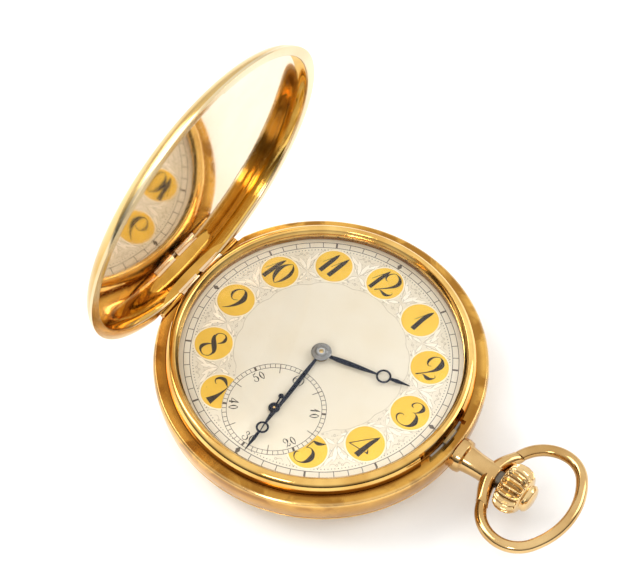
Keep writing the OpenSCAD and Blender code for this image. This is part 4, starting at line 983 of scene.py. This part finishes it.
G = {
 "1": [[(-0.05, -2.1, .66), (0.1, -0.9, .64), (0.25, 0.2, .62), (0.52, 1.35, .56), (0.78, 2.0, .36), (0.98, 2.5, .04)], [(0.72, 1.95, .12), (0.35, 1.55, .1), (-0.2, 0.65, .08), (-0.8, -0.4, .06)]],
 "2": [[(0.1, 0.3, .07), (-0.35, 0.12, .1), (-0.7, 0.5, .24), (-0.78, 1.1, .34), (-0.5, 1.85, .2), (0.0, 2.27, .1), (0.4, 2.38, .09), (0.95, 2.1, .36), (1.3, 1.35, .74), (1.2, 0.55, .62), (0.85, -0.2, .34), (0.25, -0.95, .17), (-0.45, -1.7, .15), (-1.08, -2.3, .2)],
       [(-0.2, -1.72, .06), (0.2, -1.75, .26), (0.75, -1.88, .5), (1.25, -1.75, .36), (1.65, -1.35, .14), (1.73, -0.98, .09), (1.45, -0.8, .06)]],
 "3": [[(-0.03, 1.1, .08), (-0.35, 1.12, .16), (-0.5, 1.5, .2), (-0.1, 2.08, .1), (0.5, 2.27, .09), (1.05, 2.1, .26), (1.36, 1.6, .54), (1.2, 1.0, .36), (0.8, 0.5, .12), (0.3, 0.22, .06)],
       [(0.6, 0.32, .07), (1.0, 0.2, .16), (1.4, -0.25, .44), (1.6, -1.07, .66), (1.35, -1.85, .44), (0.75, -2.33, .18), (0.0, -2.48, .09), (-0.8, -2.28, .1), (-1.33, -1.7, .2), (-1.3, -1.15, .18), (-0.9, -0.85, .1), (-0.45, -0.92, .06)]],
 "4": [[(1.23, 2.25, .04), (1.02, 1.6, .38), (0.7, 0.63, .56), (0.35, -0.9, .68), (0.07, -2.45, .78)], [(1.12, 2.05, .1), (-0.45, 0.4, .1), (-2.0, -1.37, .12)],
       [(-2.05, -1.37, .12), (0, -1.28, .11), (1.3, -1.2, .12)], [(0.85, -0.5, .04), (1.1, -0.9, .16), (1.24, -1.33, .3)]],
 "5": [[(-0.26, 1.88, .1), (0.1, 1.8, .34), (0.6, 1.85, .48), (1.15, 2.15, .3), (1.62, 2.55, .04)], [(-0.22, 1.85, .12), (-0.35, 1.0, .11), (-0.47, 0.25, .12)],
       [(-0.47, 0.28, .08), (0.0, 0.52, .1), (0.5, 0.45, .18), (1.0, 0.0, .46), (1.2, -0.8, .68), (1.0, -1.6, .48), (0.5, -2.2, .2), (-0.22, -2.45, .09), (-0.9, -2.25, .1), (-1.3, -1.65, .2), (-1.25, -1.15, .14), (-0.95, -1.02, .06)]],
 "6": [[(1.0, 2.35, .05), (0.1, 1.6, .2), (-0.5, 0.7, .42), (-0.88, -0.3, .62), (-0.9, -1.0, .68), (-0.5, -1.95, .36), (0.18, -2.3, .1), (0.95, -1.75, .2), (1.27, -0.95, .34), (1.15, -0.4, .26), (0.75, 0.1, .12), (0.3, 0.17, .08), (-0.3, -0.2, .07)]],
 "7": [[(-1.28, 0.72, .06), (-1.68, 0.95, .12), (-1.84, 1.4, .22), (-1.45, 1.92, .38), (-0.75, 2.08, .5), (-0.15, 1.78, .32), (0.33, 1.4, .12), (0.6, 1.45, .08)], [(0.56, 1.45, .08), (0.42, 0.4, .2), (0.15, -0.8, .46), (-0.2, -1.85, .84), (-0.4, -2.42, 1.12)]],
 "8": [[(-0.67, 1.38, .3), (-0.66, 1.0, .44), (-0.35, 0.45, .62), (0.15, -0.1, .68), (0.65, -0.68, .62), (0.95, -1.2, .42), (0.97, -1.6, .26)], [(-0.67, 1.38, .24), (-0.45, 2.0, .12), (0.3, 2.3, .09), (0.92, 2.02, .24), (1.13, 1.35, .42), (0.95, 0.8, .24), (0.5, 0.35, .08)],
       [(-0.15, -0.2, .08), (-0.75, -0.65, .28), (-1.2, -1.4, .5), (-0.95, -2.15, .26), (-0.1, -2.58, .09), (0.7, -2.25, .12), (0.97, -1.6, .26)]],
 "9": [[(0.3, 0.2, .07), (-0.3, -0.15, .08), (-0.75, -0.08, .12), (-1.15, 0.4, .27), (-1.27, 0.98, .36), (-0.95, 1.75, .2), (-0.18, 2.27, .09), (0.5, 1.95, .36), (0.9, 1.0, .7), (0.88, 0.3, .64), (0.5, -0.7, .42), (-0.1, -1.6, .2), (-0.95, -2.4, .05)]],
 "0": [[(0.12, 2.2, .06), (-0.6, 1.3, .36), (-1.0, 0.1, .62), (-0.72, -1.3, .42), (0.0, -2.2, .06)], [(0.12, 2.2, .06), (0.8, 1.4, .34), (1.02, 0.2, .5), (0.65, -1.2, .32), (0.0, -2.2, .06)]],
 "10": [[(-1.72, -2.2, .64), (-1.45, -0.9, .63), (-1.2, 0.3, .6), (-0.9, 1.5, .5), (-0.7, 2.05, .3), (-0.55, 2.42, .04)], [(-0.8, 1.9, .1), (-1.35, 1.2, .08), (-1.9, 0.2, .07), (-2.4, -0.75, .05)],
        [(0.62, 2.3, .06), (-0.1, 1.5, .34), (-0.46, 0.3, .62), (-0.35, -0.9, .52), (0.05, -1.75, .2), (0.52, -2.18, .06)], [(0.95, 2.35, .06), (1.45, 1.6, .34), (1.62, 0.4, .5), (1.3, -0.9, .36), (0.9, -1.7, .14), (0.52, -2.18, .06)], [(0.6, 2.3, .07), (0.78, 2.38, .06), (0.97, 2.34, .07)]],
 "11": [[(-1.33, -2.03, .64), (-1.1, -0.7, .63), (-0.87, 0.6, .6), (-0.68, 1.6, .46), (-0.5, 2.36, .04)], [(0.33, -2.05, .64), (0.6, -0.6, .63), (0.85, 0.8, .6), (1.05, 1.75, .44), (1.25, 2.55, .04)], [(-0.72, 1.7, .1), (-1.2, 0.95, .08), (-1.95, -0.35, .05)], [(1.0, 1.9, .1), (0.5, 1.15, .08), (-0.25, -0.35, .05)]],
 "12": [[(-1.6, -2.07, .56), (-1.35, -0.8, .55), (-1.1, 0.4, .52), (-0.82, 1.6, .42), (-0.6, 2.42, .04)], [(-0.85, 1.85, .1), (-1.45, 0.95, .08), (-2.25, -0.5, .05)],
        [(0.15, 0.62, .06), (-0.2, 0.62, .1), (-0.5, 1.1, .24), (-0.35, 1.85, .18), (0.2, 2.42, .09), (0.65, 2.48, .1), (1.4, 2.15, .32), (1.85, 1.4, .54), (1.7, 0.6, .46), (1.15, -0.2, .26), (0.3, -1.05, .14), (-0.7, -2.0, .17)], [(0.0, -1.55, .06), (0.4, -1.6, .22), (1.15, -1.8, .44), (1.75, -1.6, .26), (2.12, -1.1, .09), (1.95, -0.82, .05)]],
}

def glyph(ink, key, x, y, s=1.0, rot=0.0):
    M = (math.cos(rot), math.sin(rot), s, x, y)
    for st in G[key]: ink.stroke([(p_[0], p_[1], p_[2] * 1.22) for p_ in st], M, 7)

def make_prints():
    num = Ink(9.055, 0.016)
    for k in range(1, 13):
        if k == 6: continue
        a = math.radians(90 - 30 * k)
        glyph(num, str(k), RING * math.cos(a), RING * math.sin(a), 0.985)
    # figures 5 and 7 stop at the edge of the small seconds
    num.v = [v if math.hypot(v[0] / MM - FX, v[1] / MM - FY) > 8.0 else (*[q * MM for q in clip_seconds(v[0] / MM, v[1] / MM, 8.0)], v[2]) for v in num.v]
    put(num.make("dial_numerals", MATS["ink"]), "case", "blued_steel")

    tr = Ink(8.999, 0.014)
    tr.circle(0, 0, 20.3, 0.1, 360); tr.circle(0, 0, 21.25, 0.1, 360)
    for i in range(60):
        a = math.radians(6 * i); c, s = math.cos(a), math.sin(a)
        w = 0.3 if i % 5 == 0 else 0.11
        tr.line(20.3 * c, 20.3 * s, 21.25 * c, 21.25 * s, w)
        if i % 15 == 0:
            tr.ribbon([((20.2 + 1.15 * q) * c, (20.2 + 1.15 * q) * s, w_) for q, w_ in ((0, .1), (.5, .75), (1, .1))])
    for i in range(240):
        a = math.radians(1.5 * i + 0.75)
        if math.hypot(19.85 * math.cos(a) - FX, 19.85 * math.sin(a) - FY) > 8.0: tr.dot(19.85 * math.cos(a), 19.85 * math.sin(a), 0.085, 6)
    put(tr.make("dial_minute_track", MATS["ink_grey"]), "case", "blued_steel")

    ss = Ink(8.999, 0.014)
    sn = Ink(8.999, 0.015)
    ss.circle(FX, FY, 7.93, 0.085, 240); ss.circle(FX, FY, 7.25, 0.085, 240)
    for i in range(60):
        a = math.radians(6 * i); c, s = math.cos(a), math.sin(a)
        w = 0.09
        ss.line(FX + 7.25 * c, FY + 7.25 * s, FX + 7.93 * c, FY + 7.93 * s, w)
        if i % 5 == 0 and (i // 5) % 2 == 0 and i % 10 != 5:
            pass
    for j in range(12):
        a = math.radians(90 - 30 * j); c, s = math.cos(a), math.sin(a)
        if j % 2: ss.line(FX + 6.3 * c, FY + 6.3 * s, FX + 7.93 * c, FY + 7.93 * s, 0.12)
        else: ss.line(FX + 7.3 * c, FY + 7.3 * s, FX + 7.88 * c, FY + 7.88 * s, 0.34)
    for j, t in enumerate(("60", "10", "20", "30", "40", "50")):
        a = math.radians(90 - 60 * j)
        rot = a - math.pi / 2
        if t in ("20", "30", "40"): rot += math.pi
        s = 0.32
        for n_, ch in enumerate(t):
            off = (-1.85 if n_ == 0 else 1.55) * s
            if ch == "1": off += 0.35 * s
            x, y = FX + 6.18 * math.cos(a) + off * math.cos(rot), FY + 6.18 * math.sin(a) + off * math.sin(rot)
            M = (math.cos(rot), math.sin(rot), s, x, y)
            for st in G[ch]: sn.stroke([((p_[0] - 0.19 * p_[1]) * 0.86, p_[1], max(p_[2], 0.28)) for p_ in st], M, 7)
    put(ss.make("dial_small_seconds_print", MATS["ink_grey"]), "case", "blued_steel")
    put(sn.make("dial_small_seconds_figures", MATS["ink"]), "case", "blued_steel")

def make_engraving():
    lines = Ink(8.999, 0.008)
    leaves = Ink(8.999, 0.010)
    def ok(x, y): return math.hypot(x - FX, y - FY) > 8.35
    for g in range(12):
        ga = math.radians(75 - 30 * g)
        ux, uy = -math.sin(ga), math.cos(ga)
        vx, vy = math.cos(ga), math.sin(ga)
        def P(u, v): return (vx * v + ux * u, vy * v + uy * u)
        def curve(pts, w0, w1=None):
            q = catmull([(*P(u, v), w) for u, v, w in [(p[0], p[1], w0) for p in pts]], 6)
            q = [p for p in q if ok(p[0], p[1])]
            if len(q) > 2:
                L = len(q)
                for i, p in enumerate(q): p[2] = w0 * (0.35 + 0.65 * math.sin(math.pi * (i + 0.5) / L))
                lines.ribbon(q)
        def leaf(u0, v0, u1, v1, w, vein=True, bend=0.0):
            du, dv = u1 - u0, v1 - v0; l = math.hypot(du, dv); nu, nv = -dv / l, du / l
            top, bot = [], []
            for i in range(13):
                t = i / 12; h = w * math.sin(math.pi * t) ** 0.8
                c = bend * math.sin(math.pi * t)
                top.append((u0 + du * t + nu * (c + h), v0 + dv * t + nv * (c + h))); bot.append((u0 + du * t + nu * (c - h), v0 + dv * t + nv * (c - h)))
            loop = top + bot[-2:0:-1]
            xy = [P(*p) for p in loop]
            if not all(ok(*p) for p in xy): return
            leaves.shape(xy, 0.02)
            curve(top, 0.1); curve(bot, 0.085)
            if vein: curve([(u0 + du * t + nu * bend * math.sin(math.pi * t), v0 + dv * t + nv * bend * math.sin(math.pi * t)) for t in (0.08, 0.3, 0.5, 0.7, 0.9)], 0.055)
        for m in (-1, 1):
            leaf(0.12 * m, 16.1, 0.95 * m, 18.75, 0.33, True, 0.1 * m)
            leaf(0.55 * m, 17.6, 2.45 * m, 19.25, 0.27, True, -0.12 * m)
            leaf(0.1 * m, 15.75, 1.45 * m, 14.45, 0.27, True, 0.08 * m)
            leaf(0.75 * m, 14.35, 2.35 * m, 13.95, 0.2, True, 0.0)
            leaf(0.62 * m, 16.3, 1.15 * m, 17.1, 0.13, False)
            curve([(0.05 * m, 15.9), (0.62 * m, 16.6), (1.28 * m, 17.5), (1.75 * m, 18.3), (2.5 * m, 18.9), (3.0 * m, 19.5)], 0.085)
            curve([(0.2 * m, 15.6), (0.9 * m, 15.1), (1.7 * m, 14.5), (2.6 * m, 13.85), (3.3 * m, 13.75)], 0.08)
            curve([(1.55 * m, 19.35), (1.25 * m, 19.0), (0.8 * m, 19.1), (0.55 * m, 19.45)], 0.07)
            cx_, cy_ = P(1.75 * m, 17.85)
            for (u, v, r) in ((3.3, 19.25, 0.2), (0.42, 19.3, 0.16), (1.75, 13.75, 0.13)):
                x, y = P(u * m, v)
                if ok(x, y): lines.circle(x, y, r, 0.07, 18)
            for (u, v) in ((0.3, 14.9), (0.42, 14.3), (1.1, 13.8), (0.2, 17.4), (0.22, 18.2), (1.3, 18.35)):
                x, y = P(u * m, v)
                if ok(x, y): lines.dot(x, y, 0.075, 6)
        x, y = P(0, 14.25)
        if ok(x, y): lines.circle(x, y, 0.17, 0.07, 18)
        x, y = P(0, 18.95)
        if ok(x, y): lines.circle(x, y, 0.15, 0.07, 18)
        # scalloped inner border of the engraved ring
        curve([(-4.0, 12.95), (-2.6, 13.35), (-1.2, 13.45), (0, 13.25), (1.2, 13.45), (2.6, 13.35), (4.0, 12.95)], 0.06)
    put(lines.make("dial_engraved_lines", MATS["engrave"]), "case", "silvered_dial")
    put(leaves.make("dial_engraved_leaves", MATS["leaf"]), "case", "silvered_dial")

# ---------------------------------------------------------------- hands
def prism(pts, z0, z1, edge, crown_=0.0):
    """flat shape with a bevelled top: pts run round the outline"""
    n = len(pts)
    v, f = [], []
    cx_, cy_ = sum(p[0] for p in pts) / n, sum(p[1] for p in pts) / n
    def off(k):
        out = []
        for i in range(n):
            a, b, c = (Vector(pts[(i + j) % n]) for j in (-1, 0, 1))
            d1, d2 = (b - a), (c - b)
            d1 = d1.normalized() if d1.length > 1e-9 else Vector((1, 0)); d2 = d2.normalized() if d2.length > 1e-9 else d1
            n1, n2 = Vector((-d1.y, d1.x)), Vector((-d2.y, d2.x))
            m = (n1 + n2); m = m.normalized() if m.length > 1e-6 else n1
            sc = 1.0 / max(0.5, m.dot(n1))
            out.append(b + m * k * sc)
        return out
    rows = [(0, z0), (0, z1 - edge), (edge * 0.45, z1 - edge * 0.3), (edge, z1)]
    for k, z in rows:
        for p in off(k): v.append((p.x * MM, p.y * MM, z * MM))
    for r_ in range(len(rows) - 1):
        for i in range(n):
            j = (i + 1) % n
            f.append((r_ * n + i, r_ * n + j, (r_ + 1) * n + j, (r_ + 1) * n + i))
    f.append([i for i in range(n)][::-1]); f.append([(len(rows) - 1) * n + i for i in range(n)])
    return v, f

def hand(name, body, node, mat, z0, z1, ang, length, ringx, ringr, ringw, w, hub_r, hub_hole, cx_=0.0, cy_=0.0, tail=None):
    parts = []
    def piece(pts, e_=0.05):
        v, f = prism(pts, z0, z1, e_)
        parts.append(obj_from("p", v, f, mat, angle=20))
    # inner blade, swelling towards its middle
    def blade(x0, x1, w0, wm, w1, at=0.4):
        up_, n = [], 14
        for i in range(n + 1):
            t = i / n
            s = (w0 + (wm - w0) * math.sin(min(t / at, 1.0) * math.pi / 2)) if t < at else (wm + (w1 - wm) * (1 - math.cos((t - at) / (1 - at) * math.pi / 2)))
            up_.append((x0 + (x1 - x0) * t, s))
        piece([(x, -y) for x, y in up_] + up_[::-1])
    if ringx:
        blade(hub_r * 0.6, ringx - ringr * 0.9, w * 0.5, w, w * 0.34, 0.38)
        x0 = ringx + ringr * 0.86
        piece([(x0 - 0.05, -w * 0.5), (x0 + (length - x0) * 0.35, -w * 0.78), (length, -0.035), (length, 0.035), (x0 + (length - x0) * 0.35, w * 0.78), (x0 - 0.05, w * 0.5)])
        ring = revolve("r", fillet([(ringr - ringw, z0), (ringr, z0), (ringr, z1), (ringr - ringw, z1)], 0.06, 4), mat, 96, angle=50)
        ring.data.transform(Matrix.Translation(Vector((ringx, 0, 0)) * MM)); parts.append(ring)
    else:
        piece([(0, -0.16), (length, -0.05), (length, 0.05), (0, 0.16)], 0.03)
        piece([(0.2, -0.14), (0.2, 0.14), (-2.3, 0.1), (-2.3, -0.1)][::-1][::-1], 0.03)
        ring = revolve("r", fillet([(0.0, z0), (0.42, z0), (0.42, z1), (0.0, z1)], [0, 0.04, 0.05, 0], 4), mat, 48, angle=50)
        ring.data.transform(Matrix.Translation(Vector((-2.3, 0, 0)) * MM)); parts.append(ring)
    hub = revolve("h", fillet([(hub_hole, z0), (hub_r, z0), (hub_r, z1), (hub_hole, z1)], 0.05, 4), mat, 96, angle=50)
    parts.append(hub)
    o = join(name, parts)
    o.data.transform(Matrix.Translation(Vector((cx_, cy_, 0)) * MM) @ Matrix.Rotation(math.radians(ang), 4, "Z"))
    return put(o, body, "blued_steel", node)

def make_hands():
    hand("hour_hand_blued", "hours", "hour_hand", MATS["blued"], 9.45, 9.61, 14.1, 14.66, 10.34, 1.2, 0.32, 0.42, 1.25, 0.98)
    hand("minute_hand_blued", "minutes", "minute_hand", MATS["blued"], 9.85, 10.01, -86.8, 20.6, 15.96, 1.0, 0.32, 0.36, 1.25, 0.64)
    o = hand("seconds_hand_blued", "seconds", "seconds_hand", MATS["blued"], 9.25, 9.37, -80, 5.6, 0, 0, 0, 0, 0.9, 0.2, 0.0, -11.92)
    pts = [(0.62, 10.02), (1.6, 10.02), (1.58, 10.1), (1.42, 10.16), (1.05, 10.17), (0.95, 10.2), (0.92, 10.3), (0.82, 10.35), (0.62, 10.35)]
    o = revolve("minute_hand_boss", fillet(pts, 0.03, 4, 10), MATS["steel_fine"], 128, angle=40)
    put(o, "minutes", "steel", "minute_collet")

make_bezel(); make_band(); make_front_cover(); make_rear_cover(); make_crystal()
make_pendant(); make_bow(); make_crown()
make_dial(); make_discs(); make_prints(); make_engraving(); make_hands()

# ---------------------------------------------------------------- carried-over CAD nodes
CAD_MAT = {"steel": ["front_hinge_pin", "rear_hinge_pin", "cuvette_hinge_pin", "case_screws", "dial_screws", "barrel_arbor", "ratchet_wheel",
                     "crown_wheel", "click", "ratchet_screw", "crown_wheel_screw", "pallet_fork", "balance_staff", "regulator", "winding_pinion", "sliding_pinion",
                     "setting_lever", "yoke", "setting_wheel", "cannon_pinion"],
           # the stem and the sleeve take the darkened steel: painted shade of the gap under the crown
           "stem_steel": ["winding_stem", "push_sleeve"],
           "latch_steel": ["lock_spring"],
           "spring_steel": ["fly_spring", "mainspring", "click_spring", "hairspring"],
           "gold_back": ["cuvette"], "rose": ["bow_pivots"],
           "nickel": ["mainplate", "barrel_bridge", "train_bridge", "balance_cock", "pallet_cock"],
           "brass": ["barrel_drum", "barrel_lid", "center_wheel", "third_wheel", "fourth_wheel", "escape_wheel", "balance_wheel", "minute_wheel", "hour_wheel"],
           "ruby": ["jewels", "pallet_stones"], "blued": ["bridge_screws"]}
BEVEL = {"lock_spring": 0.06, "cuvette": 0.05, "mainplate": 0.05, "barrel_bridge": 0.07, "train_bridge": 0.07, "balance_cock": 0.07, "push_sleeve": 0.05}
for m, names in CAD_MAT.items():
    for nme in names:
        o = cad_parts[nme]
        o.data.materials.clear()
        o.data.materials.append(MATS[m])
        o.data.polygons.foreach_set("use_smooth", [True] * len(o.data.polygons))
        o.data.set_sharp_from_angle(angle=math.radians(30))
        if nme in BEVEL:
            b = o.modifiers.new("edge", "BEVEL"); b.width = BEVEL[nme] * MM; b.segments = 2; b.limit_method = "ANGLE"; b.angle_limit = math.radians(50)
            b.use_clamp_overlap = True; b.harden_normals = False
